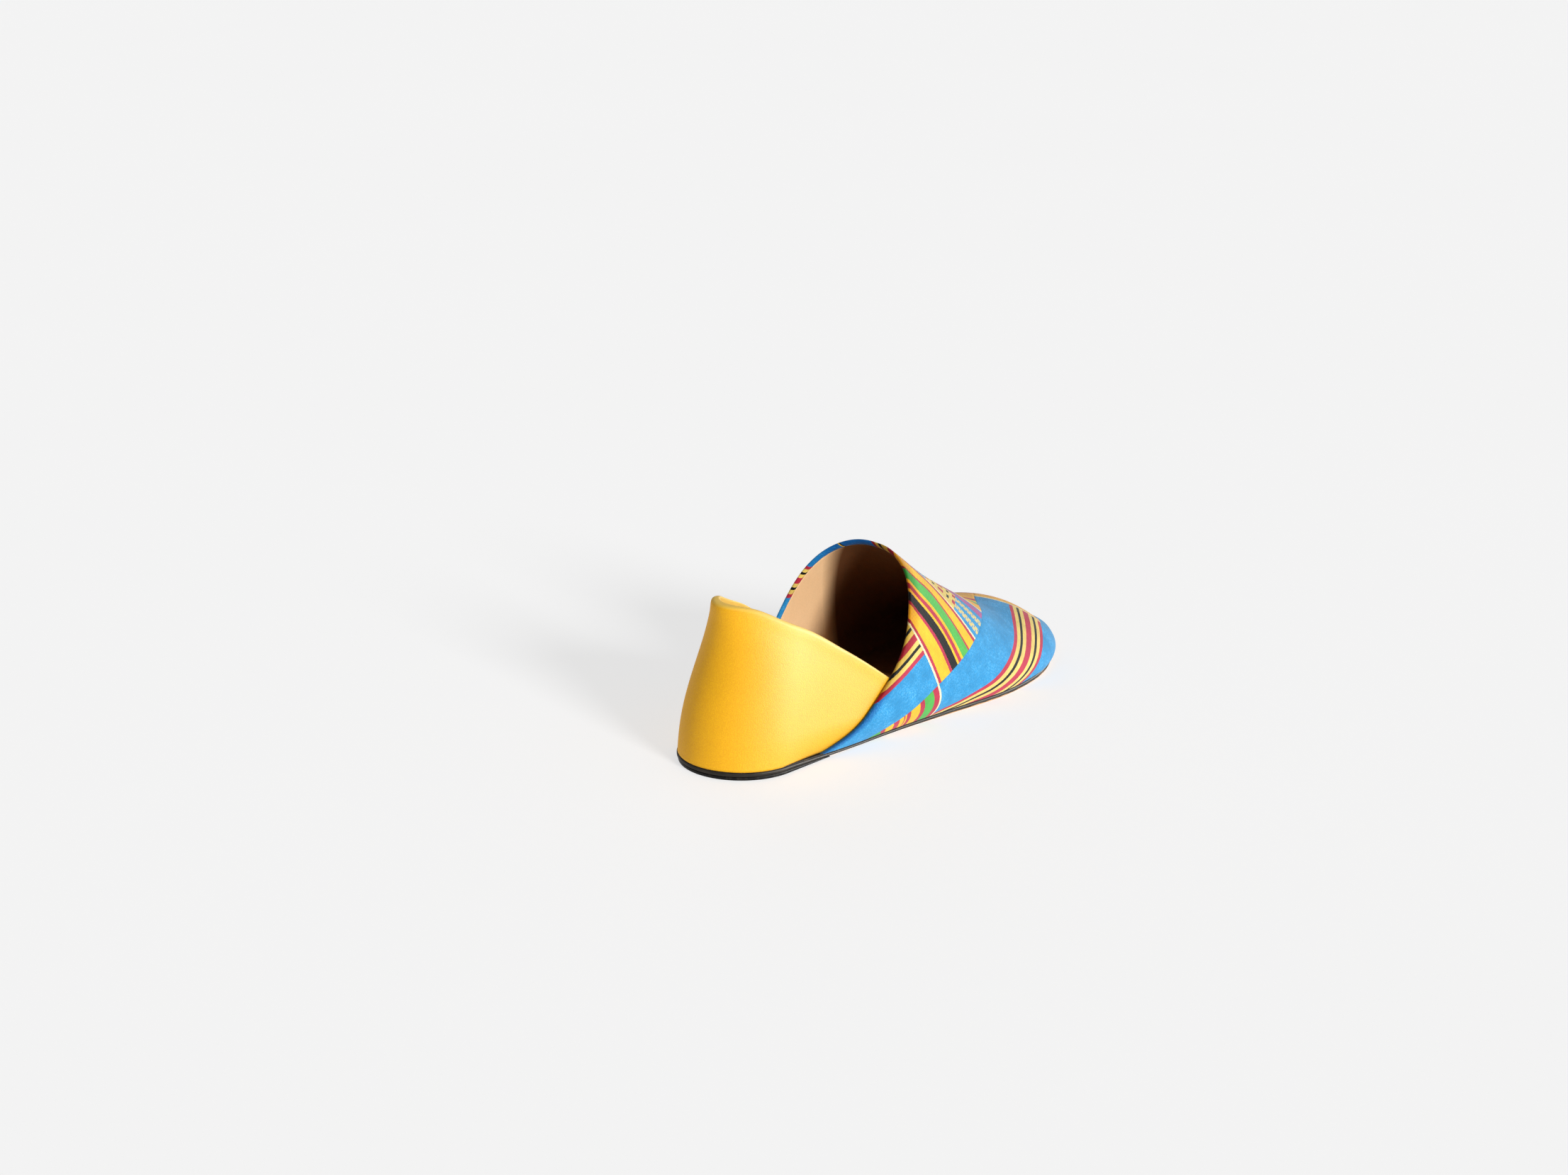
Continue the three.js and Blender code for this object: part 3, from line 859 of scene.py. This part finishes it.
TOE_BLOCK = (
    *((114.0, "cream"), (115.6, "orange"), (124.0, "maroon"), (126.0, "gold"), (136.0, "green")),
    (146.0, None),
)
# Where the groups of stripes lie and how much wider than charted they are, and where the blocks start.
GROUP_A = 58.0
GROUP_A_HALF = 8.95
GROUPS = (
    (STRIPES, GROUP_A, 0.9),
    (STRIPES, GROUP_B, 0.93),
    (STRIPES, -35.9, 1.0),
    (STRIPES, -97.0, 1.0),
    (HALF_STRIPES, 17.5, 1.0),
    (TICK, -2.0, 1.0),
)
BLOCK_A = -16.2
BLOCKS_X_Y_Z = (26.0, 62.0, 44.0)
TOE_BLOCK_END = 120.8
CHAIN_ROWS = ((40.9, 0.0), (43.0, 0.5), (49.4, 0.0), (51.5, 0.5))
CHAIN_WIDTH = 2.5
CHAIN_PITCH = 2.4
CHAIN_SHARE = 0.8
CHECK_START = 36.2
CHECK_END = 57.0
CHECK_PITCH = 9.2
CHECK_SHARE = 0.52

# Looks. A noise is its scale, detail and roughness, and a stretch draws it along the axes. Two numbers are
# the values at a noise's low and high end, or a range that goes to 0 and 1; four carry one range to another.
# A bump is its height in metres and its strength.
NOISE_RANGE = (0.3, 0.7)
ON_CLOTH = (1.0, 1.0, 0.0)
RIB_SLANT = 0.9
RIB_JAG = 0.09
RIB_SHADE = (0.0, 1.0, 0.88, 1.04)
RIB_HEIGHT = 0.35
JAG_P_STRETCH = (0.3, 1.6, 0.0)
JAG_P = (-0.18, 0.18)
JAG_Q_STRETCH = (0.5, 0.2, 0.0)
JAG_Q = (-0.05, 0.05)
STREAK_STRETCH = (0.3, 1.5, 0.0)
STREAKS = (1.0, 4.0, 0.65)
STREAK_SHADE = (0.25, 0.75, 0.84, 1.12)
SPECK_STRETCH = (1.2, 1.0, 0.0)
SPECKS = (1.0, 3.0, 0.6)
SPECKS_RUBBED = (0.46, 0.66)
CLOUDS = (0.11, 3.0, 0.55)
CLOUDS_RUBBED = (0.34, 0.68, 0.1, 1.0)
CLOUD_SHADE = (0.88, 1.08)
SEAM_HALF = 0.9
SEAM_HEIGHT = 1.2
# The next four numbers paint shade on the cloth near its free edge: darker and deeper in colour there,
# weaker towards the inner side.
EDGE_SHADE_REACH = (-2.2, 6.0, 1.0, 0.0)
EDGE_SHADE_SIDE = (-30.0, 2.0, 0.2, 1.0)
EDGE_PAINTED_SHADE = 0.56
EDGE_SHADE_GAMMA = 1.8
CLOTH_ROUGHNESS = (0.78, 0.92)
CLOTH_GLOSS = 0.08
CLOTH_SHEEN = {"Sheen Weight": 0.14, "Sheen Roughness": 0.45}
CLOTH_BUMP = (0.00028, 0.8)
GRAIN_SWAY = 0.5
GRAIN_SWAY_REACH = 1.2
GRAIN_DRAWN = (1.0, 1.0, 0.75)
GRAIN_SMOOTH = 0.6
PEBBLE_HEIGHT = -1.4
WAVY_HEIGHT = 0.6
FURROWS = (-0.5, 0.0)
# The next four numbers place the back's painted light: paler within about a millimetre of its top edge and
# over the fold's inner face.
FOLD_PAINTED_LIGHT = (0.1, 1.3, 0.75, 0.0)
BROAD = (0.05, 3.0)
BROAD_SHADE = (0.97, 1.02)
BACK_ROUGHNESS = (0.56, 0.66)
BACK_GLOSS = 0.3
BACK_BUMP = (0.00008, 0.75)
MOTTLE = (0.06, 4.0, 0.6)
MOTTLE_PALE = (0.3, 0.72)
PORES = (1.6, 2.0)
PORE_SHADE = (0.96, 1.03)
PORE_HEIGHT = 0.3
CREASE_STRETCH = (0.5, 0.3, 0.16)
CREASES = (1.0, 3.0, 0.6)
# The next two numbers place the linings' painted shade, which darkens them from the collar towards the toe
# under the vamp.
INWARD_SHADE_RISE = 0.41
INWARD_SHADE = (14.0, 24.0)
LINING_ROUGHNESS = (0.5, 0.62)
LINING_GLOSS = 0.08
LINING_BUMP = (0.0004, 0.6)
EDGE_STRETCH = (0.12, 5.0, 0.0)
EDGE_STREAKS = (1.0, 3.0, 0.6)
FIBRES = (0.9, 4.0, 0.65)
FIBRE_SHADE = (0.86, 1.06)
BARE = (-45.0, 15.0, 0.02, 0.32)
BARE_NOISE = (0.12, 2.0)
BARE_WANDER = (0.75, 1.25)
SOLE_ROUGHNESS = (0.36, 0.55)
SOLE_GLOSS = 0.12
SOLE_BUMP = (0.00015, 0.5)
LIFT_RUBBED = (0.35, 4.0, 0.65)
LIFT_BARE = (0.5, 0.8)
LIFT_GRAIN = (1.4, 3.0)
LIFT_ROUGHNESS = (0.3, 0.5)
LIFT_BUMP = (0.00012, 0.5)
THREAD_TWIST = 1.6
THREAD_SPECKS = (0.55, 3.0, 0.7)
THREAD_BARE = (0.6, 0.68)
THREAD_ROUGHNESS = (0.0, 1.0, 0.5, 0.7)
THREAD_GLOSS = 0.1
THREAD_BUMP = (0.0001, 0.6)
FLOOR_MOTTLE = 3.0
FLOOR_TONE = (0.995, 1.005)
FLOOR_ROUGHNESS = 0.8


def shifted(bands, start, scale=1.0):
    """Bands moved to a start, scaled about their own nought."""
    return tuple((start + place * scale, yarn) for place, yarn in bands)


def checks(look, p, q, edge_p, edge_q):
    """Where straw weft shows in the chequered part of the instep's strip: bars across the stripes, and
    rows of links like chains beside them."""
    from_start = look.calc("SUBTRACT", edge_p, CHECK_START)
    bars_at = look.calc("FRACT", look.calc("DIVIDE", from_start, CHECK_PITCH))
    on_group = look.inside(edge_q, GROUP_A - GROUP_A_HALF, GROUP_A + GROUP_A_HALF)
    bars = look.times(look.calc("LESS_THAN", bars_at, CHECK_SHARE), on_group)
    links = 0.0
    for place, phase in CHAIN_ROWS:
        near = look.inside(p, place - CHAIN_WIDTH / 2, place + CHAIN_WIDTH / 2)
        step = look.calc("FRACT", look.calc("MULTIPLY_ADD", q, 1 / CHAIN_PITCH, phase))
        link = look.times(near, look.calc("LESS_THAN", step, CHAIN_SHARE))
        links = look.calc("MAXIMUM", links, link)
    links = look.times(links, look.calc("SUBTRACT", 1.0, on_group))
    part = look.times(look.inside(edge_p, CHECK_START, CHECK_END), look.inside(edge_q, SEAM_AZ, SEAM_AB))
    return look.times(part, look.calc("MAXIMUM", bars, links))


def cloth_material(sizes, colours):
    """Strip-woven cotton: a blue warp with groups of stripes, crossed by weft-faced blocks, jagged by a
    thread where bands meet, heathered along the warp and ribbed where the weft lies on top. Near its free
    edge, where it is turned over, it is darker and deeper in colour as painted shade, weaker towards the
    inner side."""
    look = Surface("woven_cloth")
    lay = look.attribute("cloth")
    p, q, from_edge = look.axes(lay)
    flat = look.stretched(lay, ON_CLOTH)
    rib_turn = look.times(q, 2 * math.pi * METRES / sizes.cloth_rib)
    rib_wave = look.calc("SINE", look.calc("MULTIPLY_ADD", p, RIB_SLANT, rib_turn))
    ribs = look.calc("MULTIPLY_ADD", rib_wave, 0.5, 0.5)
    jag_p = look.vary(look.noise(look.stretched(flat, JAG_P_STRETCH)), JAG_P)
    jag_p = look.calc("MULTIPLY_ADD", rib_wave, RIB_JAG, jag_p)
    jag_q = look.vary(look.noise(look.stretched(flat, JAG_Q_STRETCH)), JAG_Q)
    edge_p = look.calc("ADD", p, jag_p)
    edge_q = look.calc("ADD", q, jag_q)

    warp = colours.blue
    plain = 1.0
    for bands, start, scale in GROUPS:
        stripes, share = banded(look, edge_q, shifted(bands, start, scale), colours)
        warp = look.blend(share, warp, stripes)
        plain = look.calc("SUBTRACT", plain, share)
    warp = look.blend(checks(look, p, q, edge_p, edge_q), warp, colours.straw)

    wefts = [banded(look, edge_p, shifted(BLOCK, start), colours) for start in BLOCKS_X_Y_Z]
    wefts.append(joined(look, edge_p, shifted(BLOCK, BLOCK_A), TOP_BLOCK, colours, 1.0))
    before_end = look.calc("LESS_THAN", edge_q, TOE_BLOCK_END)
    wefts.append(joined(look, edge_p, SIDE_BLOCK, TOE_BLOCK, colours, before_end))
    weft, cover = wefts[0]
    seam = 1.0
    for place, (next_weft, next_cover) in zip(SEAMS, wefts[1:]):
        past = look.calc("GREATER_THAN", edge_q, place)
        weft = look.blend(past, weft, next_weft)
        cover = look.mixed(past, cover, next_cover)
        off = look.calc("ABSOLUTE", look.calc("SUBTRACT", edge_q, place))
        seam = look.calc("MINIMUM", seam, look.spread(off, 0.0, SEAM_HALF))
    colour = look.blend(cover, warp, weft)

    streaks = look.noise(look.stretched(flat, STREAK_STRETCH), *STREAKS)
    specks = look.noise(look.stretched(flat, SPECK_STRETCH), *SPECKS)
    clouds = look.noise(flat, *CLOUDS)
    rubbed = look.times(look.spread(specks, *SPECKS_RUBBED), look.spread(clouds, *CLOUDS_RUBBED))
    only_blue = look.times(plain, look.calc("SUBTRACT", 1.0, cover))
    colour = look.blend(look.times(rubbed, only_blue), colour, colours.sky)
    shade = look.times(look.spread(streaks, *STREAK_SHADE), look.vary(clouds, CLOUD_SHADE))
    shade = look.times(shade, look.mixed(cover, 1.0, look.spread(ribs, *RIB_SHADE)))
    # Painted shade: the cloth is darkened and deepened in colour near its free edge, weaker towards the
    # inner side.
    turned = look.times(look.spread(from_edge, *EDGE_SHADE_REACH), look.spread(q, *EDGE_SHADE_SIDE))
    shade = look.times(shade, look.mixed(turned, 1.0, EDGE_PAINTED_SHADE))
    depth = look.mixed(turned, 1.0, EDGE_SHADE_GAMMA)
    colour = look.node("ShaderNodeGamma", {"Color": colour, "Gamma": depth}).outputs[0]

    height = look.mixed(cover, look.calc("ADD", streaks, specks), look.times(ribs, RIB_HEIGHT))
    height = look.calc("MULTIPLY_ADD", seam, SEAM_HEIGHT, height)
    shaded = look.scaled(colour, shade)
    roughness = look.vary(streaks, CLOTH_ROUGHNESS)
    return look.finish(shaded, roughness, CLOTH_GLOSS, height, CLOTH_BUMP, CLOTH_SHEEN)


def back_leather_material(sizes, colours):
    """Soft yellow leather: fine soft pebbles drawn into wavy rows, a little darker between them, and painted
    paler with painted light along the folded top edge and inside the fold, where the distance under it is
    negative."""
    look = Surface("back_leather")
    places = look.places()
    grain = METRES / sizes.leather_grain
    sway = look.node("ShaderNodeTexNoise", {"Vector": places, "Scale": GRAIN_SWAY}).outputs["Color"]
    pushed = {0: places, 1: look.scaled(sway, GRAIN_SWAY_REACH)}
    pushed = look.node("ShaderNodeVectorMath", pushed, operation="ADD").outputs[0]
    drawn = look.stretched(pushed, GRAIN_DRAWN)
    cells = {"Vector": drawn, "Scale": grain, "Smoothness": GRAIN_SMOOTH}
    pebble = look.node("ShaderNodeTexVoronoi", cells, feature="SMOOTH_F1").outputs["Distance"]
    wavy = look.noise(drawn, grain)
    height = look.calc("MULTIPLY_ADD", pebble, PEBBLE_HEIGHT, look.times(wavy, WAVY_HEIGHT))
    colour = look.blend(look.spread(height, *FURROWS), colours.back_shade, colours.back)
    # Painted light: the folded top edge and the fold's inner face are made paler, where light falls on them.
    under_top = look.axes(look.attribute("lay"))[2]
    colour = look.blend(look.spread(under_top, *FOLD_PAINTED_LIGHT), colour, colours.back_painted_light)
    shaded = look.scaled(colour, look.vary(look.noise(places, *BROAD), BROAD_SHADE))
    return look.finish(shaded, look.vary(wavy, BACK_ROUGHNESS), BACK_GLOSS, height, BACK_BUMP)


def lining_material(name, colours):
    """Smooth tan leather with a soft mottle, fine pores and faint upright creases; it is painted darker from
    the collar towards the toe, as painted shade where the vamp covers it."""
    look = Surface(name)
    places = look.places()
    mottle = look.noise(places, *MOTTLE)
    pores = look.noise(places, *PORES)
    creases = look.noise(look.stretched(places, CREASE_STRETCH), *CREASES)
    colour = look.blend(look.spread(mottle, *MOTTLE_PALE), colours.lining_shade, colours.lining)
    x, _, z = look.axes(places)
    # Painted shade: the lining goes dark brown towards the toe, where the vamp shades it.
    inward = look.calc("MULTIPLY_ADD", z, INWARD_SHADE_RISE, x)
    colour = look.blend(look.spread(inward, *INWARD_SHADE), colour, colours.lining_painted_shade)
    shaded = look.scaled(colour, look.vary(pores, PORE_SHADE))
    height = look.calc("ADD", look.times(pores, PORE_HEIGHT), creases)
    return look.finish(shaded, look.vary(mottle, LINING_ROUGHNESS), LINING_GLOSS, height, LINING_BUMP)


def sole_material(colours):
    """Leather with a dyed edge and a natural underside: the dye covers the whole edge at the heel and ends
    a little above the lower corner from the waist to the toe."""
    look = Surface("sole_leather")
    lay = look.attribute("lay")
    places = look.places()
    streaks = look.noise(look.stretched(lay, EDGE_STRETCH), *EDGE_STREAKS)
    fibres = look.noise(places, *FIBRES)
    dyed = look.blend(look.spread(streaks, *NOISE_RANGE), colours.edge_dark, colours.edge)
    natural = look.scaled(tuple(colours.natural), look.vary(fibres, FIBRE_SHADE))
    bare = look.spread(look.axes(places)[0], *BARE)
    limit = look.times(bare, look.vary(look.noise(places, *BARE_NOISE), BARE_WANDER))
    on_edge = look.calc("GREATER_THAN", look.axes(lay)[1], limit)
    colour = look.blend(on_edge, natural, dyed)
    height = look.mixed(on_edge, fibres, streaks)
    return look.finish(colour, look.vary(streaks, SOLE_ROUGHNESS), SOLE_GLOSS, height, SOLE_BUMP)


def lift_material(colours):
    """A waxed black pad with a few rubbed places."""
    look = Surface("heel_pad")
    places = look.places()
    rubbed = look.noise(places, *LIFT_RUBBED)
    grain = look.noise(places, *LIFT_GRAIN)
    colour = look.blend(look.spread(rubbed, *LIFT_BARE), colours.lift, colours.edge)
    return look.finish(colour, look.vary(rubbed, LIFT_ROUGHNESS), SOLE_GLOSS, grain, LIFT_BUMP)


def thread_material(colours):
    """Waxed thread with bare specks along its length and a twist."""
    look = Surface("feather_thread")
    length, angle, _ = look.axes(look.attribute("lay"))
    turn = look.calc("MULTIPLY_ADD", length, 2 * math.pi / THREAD_TWIST, angle)
    twist = look.calc("MULTIPLY_ADD", look.calc("SINE", turn), 0.5, 0.5)
    specks = look.noise(look.places(), *THREAD_SPECKS)
    colour = look.blend(look.spread(specks, *THREAD_BARE), colours.thread_dark, colours.thread_light)
    return look.finish(colour, look.spread(twist, *THREAD_ROUGHNESS), THREAD_GLOSS, twist, THREAD_BUMP)


# Operators


class MULE_OT_vamp_cloth(bpy.types.Operator):
    """Woven cloth from the feather line over the instep to the toe, turned over its free edge"""

    bl_idname = "mule.vamp_cloth"
    bl_label = "Vamp cloth"

    def execute(self, context):
        sizes = context.scene.mule_sizes
        depth = sizes.cloth_depth / METRES
        turned = sizes.cloth_turned / METRES
        rings, along, turns = vamp_shell(0.0, 0.0, depth, turned, VAMP_WALL)
        p, q = cloth_place(along, np.broadcast_to(turns, along.shape))
        values = np.stack([p, q, along - vamp_edge(turns) - VAMP_WALL / 2], -1)
        material = cloth_material(sizes, context.scene.mule_colours)
        piece = wall("vamp_cloth", rings, material, False, "cloth", values)
        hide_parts("vamp")
        return {"FINISHED"}


class MULE_OT_vamp_lining(bpy.types.Operator):
    """Tan leather lining inside the vamp, from the cloth's turned edge to the toe"""

    bl_idname = "mule.vamp_lining"
    bl_label = "Vamp lining"

    def execute(self, context):
        sizes = context.scene.mule_sizes
        outer = sizes.cloth_depth / METRES + LINING_SLACK
        start = sizes.cloth_turned / METRES + VAMP_WALL / 2 + GAP + LINING_SLACK
        rings = vamp_shell(start, outer, VAMP_WALL, VAMP_NEAR, VAMP_WALL)[0]
        material = lining_material("vamp_lining", context.scene.mule_colours)
        piece = wall("vamp_lining", rings, material, False)
        return {"FINISHED"}


class MULE_OT_back_leather(bpy.types.Operator):
    """Soft yellow leather round the heel, folded over at its top edge"""

    bl_idname = "mule.back_leather"
    bl_label = "Back leather"

    def execute(self, context):
        sizes = context.scene.mule_sizes
        depth = sizes.back_depth / METRES
        folded = sizes.back_fold / METRES
        swell = sizes.rim_swell / METRES
        rings, values = back_shell(0.0, 0.0, depth, folded, BACK_WALL, swell, sizes.rim_plump / METRES)
        material = back_leather_material(sizes, context.scene.mule_colours)
        piece = wall("back_leather", rings, material, True, "lay", values)
        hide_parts("back")
        return {"FINISHED"}


class MULE_OT_back_lining(bpy.types.Operator):
    """Tan leather lining inside the back, below the fold of its top edge"""

    bl_idname = "mule.back_lining"
    bl_label = "Back lining"

    def execute(self, context):
        sizes = context.scene.mule_sizes
        outer = sizes.back_depth / METRES + LINING_SLACK
        lowered = sizes.back_fold / METRES + BACK_WALL / 2 + GAP + LINING_SLACK
        rings = back_shell(lowered, outer, BACK_WALL, BACK_REACH, BACK_WALL, 0.0, 0.0)[0]
        material = lining_material("back_lining", context.scene.mule_colours)
        piece = wall("back_lining", rings, material, True)
        return {"FINISHED"}


def insole_outline():
    """The insole's outline: inside the back's walls at the heel and inside the vamp's at the toe."""
    heel_side = FEATHER_INSET + BACK_WALL + INSOLE_CLEARANCE
    doubled = heel_side + VAMP_WALL + GAP
    single = FEATHER_INSET + VAMP_WALL + INSOLE_CLEARANCE
    start = float(heel_side + heel_lean(seat(0.0)))
    end = LENGTH - SOLE_TOE_INSET - single - INSOLE_TOE_CLEARANCE

    def half(x):
        entering = smooth(x, SINK_START, SINK_END) * (doubled - heel_side)
        leaving = smooth(x, BACK_REACH, BACK_REACH + TUCK_HEIGHT) * (doubled - single)
        drop = np.maximum(-upper_flare(x) - FEATHER_INSET, 0)
        inset = heel_side + drop + entering - leaving
        return (sole_half(x) - inset) * heel_share(x - start, HEEL_ROUND - heel_side) * toe_share(x, end)

    return outline(start, end, half)


class MULE_OT_insole(bpy.types.Operator):
    """Tan leather sock that closes the shoe from inside, slightly crowned"""

    bl_idname = "mule.insole"
    bl_label = "Insole"

    def execute(self, context):
        material = lining_material("insole_leather", context.scene.mule_colours)

        def top(x):
            return seat(x) + INSOLE_THICKNESS

        piece = plate("insole_sock", insole_outline(), seat, top, INSOLE_ROUND, INSOLE_CROWN, material)
        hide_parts("insole")
        return {"FINISHED"}


def sole_outline(inset):
    """The sole's outline, a half ellipse at the heel and a superellipse at the toe, drawn in by inset and a
    little more round the toe, where the upper rolls over it."""
    end = LENGTH - SOLE_TOE_INSET - inset

    def half(x):
        drawn = inset + SOLE_TOE_DRAWN * smooth(x, SOLE_DRAWN_START, SOLE_DRAWN_END)
        return (sole_half(x) - drawn) * heel_share(x - inset, HEEL_ROUND) * toe_share(x, end)

    return outline(inset, end, half)


class MULE_OT_outsole(bpy.types.Operator):
    """Thin leather sole with a dyed edge and a natural underside"""

    bl_idname = "mule.outsole"
    bl_label = "Outsole"

    def execute(self, context):
        material = sole_material(context.scene.mule_colours)
        rounding = context.scene.mule_sizes.sole_round / METRES
        piece = plate("sole_plate", sole_outline(0.0), sole_bottom, sole_top, rounding, 0.0, material)
        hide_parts("outsole")
        return {"FINISHED"}


class MULE_OT_heel_lift(bpy.types.Operator):
    """Waxed wedge under the heel, thickest at the back"""

    bl_idname = "mule.heel_lift"
    bl_label = "Heel lift"

    def execute(self, context):
        def half(x):
            width = (sole_half(x) - LIFT_INSET) * heel_share(x - LIFT_INSET, HEEL_ROUND)
            return width * heel_share(LIFT_LENGTH - x, LIFT_FRONT_ROUND)

        def top(x):
            return sole_bottom(x) - GAP

        shape = outline(LIFT_INSET, LIFT_LENGTH, half)
        material = lift_material(context.scene.mule_colours)
        rounding = context.scene.mule_sizes.sole_round / METRES / 2
        piece = plate("heel_pad", shape, np.zeros_like, top, rounding, 0.0, material)
        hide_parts("heel_lift")
        return {"FINISHED"}


class MULE_OT_feather_thread(bpy.types.Operator):
    """Waxed thread along the line where the upper meets the sole"""

    bl_idname = "mule.feather_thread"
    bl_label = "Feather thread"

    def execute(self, context):
        radius = context.scene.mule_sizes.thread / METRES / 2
        loop = sole_outline(FEATHER_INSET + radius)[0]
        path = np.concatenate([loop, (sole_top(loop[:, 0]) + GAP / 2)[:, None]], -1)
        piece = tube("feather_thread", path, radius, thread_material(context.scene.mule_colours))
        return {"FINISHED"}


# The camera of the photograph and the stage around the shoe
SENSOR = 36.0
LENS = 63.37
EYE = (-0.990, -0.8325, 0.5149)
AZIMUTH = math.radians(-47.8)
ELEVATION = math.radians(19.4)
FLOOR_SIZE = 14.0
FLOOR_STEPS = 40
KEY_FROM = (-0.18, -0.92, 0.33)
KEY_SPREAD = math.radians(16.0)
FILL_FROM = (0.45, 0.80, 0.40)
FILL_SPREAD = math.radians(40.0)
CARD_PLACE = (0.8, -0.95, 0.15)
CARD_WIDTH = 2.4
CARD_HEIGHT = 1.2
WHITE = (1.0, 1.0, 1.0, 1.0)
VIEW_TRANSFORM = "Standard"


def new_light(name, kind, direction, strength):
    """A light of a kind that shines from a direction."""
    light = bpy.data.lights.new(name, kind)
    light.energy = strength
    lamp = bpy.data.objects.new(name, light)
    lamp.rotation_euler = Vector(direction).to_track_quat("Z", "Y").to_euler()
    bpy.context.collection.objects.link(lamp)
    return light, lamp


def gloss_card(power):
    """A large upright card on the shoe's outer side that shows only in the gloss of the pieces."""
    light, lamp = new_light("card", "AREA", CARD_PLACE, power)
    light.shape = "RECTANGLE"
    light.size = CARD_WIDTH
    light.size_y = CARD_HEIGHT
    lamp.location = CARD_PLACE
    lamp.visible_camera = False
    lamp.visible_diffuse = False


def floor_material(stage):
    """A plain pale floor with a hardly visible mottle, through which light comes."""
    look = Surface("floor")
    mottle = look.noise(look.node("ShaderNodeTexCoord").outputs["Object"], FLOOR_MOTTLE)
    shaded = look.scaled(tuple(stage.floor), look.vary(mottle, FLOOR_TONE))
    look.feed(look.shader, {"Base Color": shaded, "Roughness": FLOOR_ROUGHNESS, "Specular IOR Level": 0.0})
    look.feed(look.shader, {"Emission Color": WHITE, "Emission Strength": stage.glow})
    return look.material


class MULE_OT_stage(bpy.types.Operator):
    """Plain pale floor, soft light and the photograph's camera"""

    bl_idname = "mule.stage"
    bl_label = "Stage"

    def execute(self, context):
        stage = context.scene.mule_stage
        side = (even(FLOOR_STEPS) - 0.5) * FLOOR_SIZE
        x, y = np.meshgrid(side, side, indexing="ij")
        points = np.stack([x, y, np.zeros_like(x)], -1).reshape(-1, 3)
        count = FLOOR_STEPS + 1
        row, column = np.meshgrid(np.arange(FLOOR_STEPS), np.arange(FLOOR_STEPS), indexing="ij")
        corner = (row * count + column).ravel()
        faces = np.stack([corner, corner + count, corner + count + 1, corner + 1], -1)
        mesh = bpy.data.meshes.new("floor")
        mesh.from_pydata(points.tolist(), [], faces.tolist())
        mesh.materials.append(floor_material(stage))
        floor = bpy.data.objects.new("floor", mesh)
        context.collection.objects.link(floor)

        world = bpy.data.worlds.new("studio")
        world.use_nodes = True
        background = world.node_tree.nodes["Background"]
        background.inputs["Color"].default_value = WHITE
        background.inputs["Strength"].default_value = stage.sky
        context.scene.world = world
        context.scene.view_settings.view_transform = VIEW_TRANSFORM
        new_light("key", "SUN", KEY_FROM, stage.key)[0].angle = KEY_SPREAD
        new_light("fill", "SUN", FILL_FROM, stage.fill)[0].angle = FILL_SPREAD
        gloss_card(stage.card)

        lens = bpy.data.cameras.new("camera")
        lens.sensor_fit = "HORIZONTAL"
        lens.sensor_width = SENSOR
        lens.lens = LENS
        camera = bpy.data.objects.new("camera", lens)
        camera.location = EYE
        camera.rotation_euler = (math.pi / 2 - ELEVATION, 0.0, AZIMUTH)
        context.collection.objects.link(camera)
        context.scene.camera = camera
        return {"FINISHED"}


class MULE_PT_pieces(bpy.types.Panel):
    """The pieces of the mule, in the order in which they are made"""

    bl_idname = "MULE_PT_pieces"
    bl_label = "Mule"
    bl_space_type = "VIEW_3D"
    bl_region_type = "UI"
    bl_category = "Mule"

    def draw(self, context):
        for maker in MAKERS:
            self.layout.operator(maker.bl_idname)


MAKERS = (
    MULE_OT_outsole,
    MULE_OT_heel_lift,
    MULE_OT_insole,
    MULE_OT_vamp_cloth,
    MULE_OT_vamp_lining,
    MULE_OT_back_leather,
    MULE_OT_back_lining,
    MULE_OT_feather_thread,
    MULE_OT_stage,
)
CLASSES = (MULE_PG_sizes, MULE_PG_colours, MULE_PG_stage, *MAKERS, MULE_PT_pieces)


def register():
    """Registers the classes and the scene's properties."""
    for part in CLASSES:
        bpy.utils.register_class(part)
    bpy.types.Scene.mule_sizes = PointerProperty(type=MULE_PG_sizes)
    bpy.types.Scene.mule_colours = PointerProperty(type=MULE_PG_colours)
    bpy.types.Scene.mule_stage = PointerProperty(type=MULE_PG_stage)


def unregister():
    """Takes the properties and the classes away again."""
    del bpy.types.Scene.mule_stage
    del bpy.types.Scene.mule_colours
    del bpy.types.Scene.mule_sizes
    for part in reversed(CLASSES):
        bpy.utils.unregister_class(part)


def main():
    """Makes every piece in order."""
    register()
    for maker in MAKERS:
        group, name = maker.bl_idname.split(".")
        getattr(getattr(bpy.ops, group), name)()


if __name__ == "__main__":
    main()
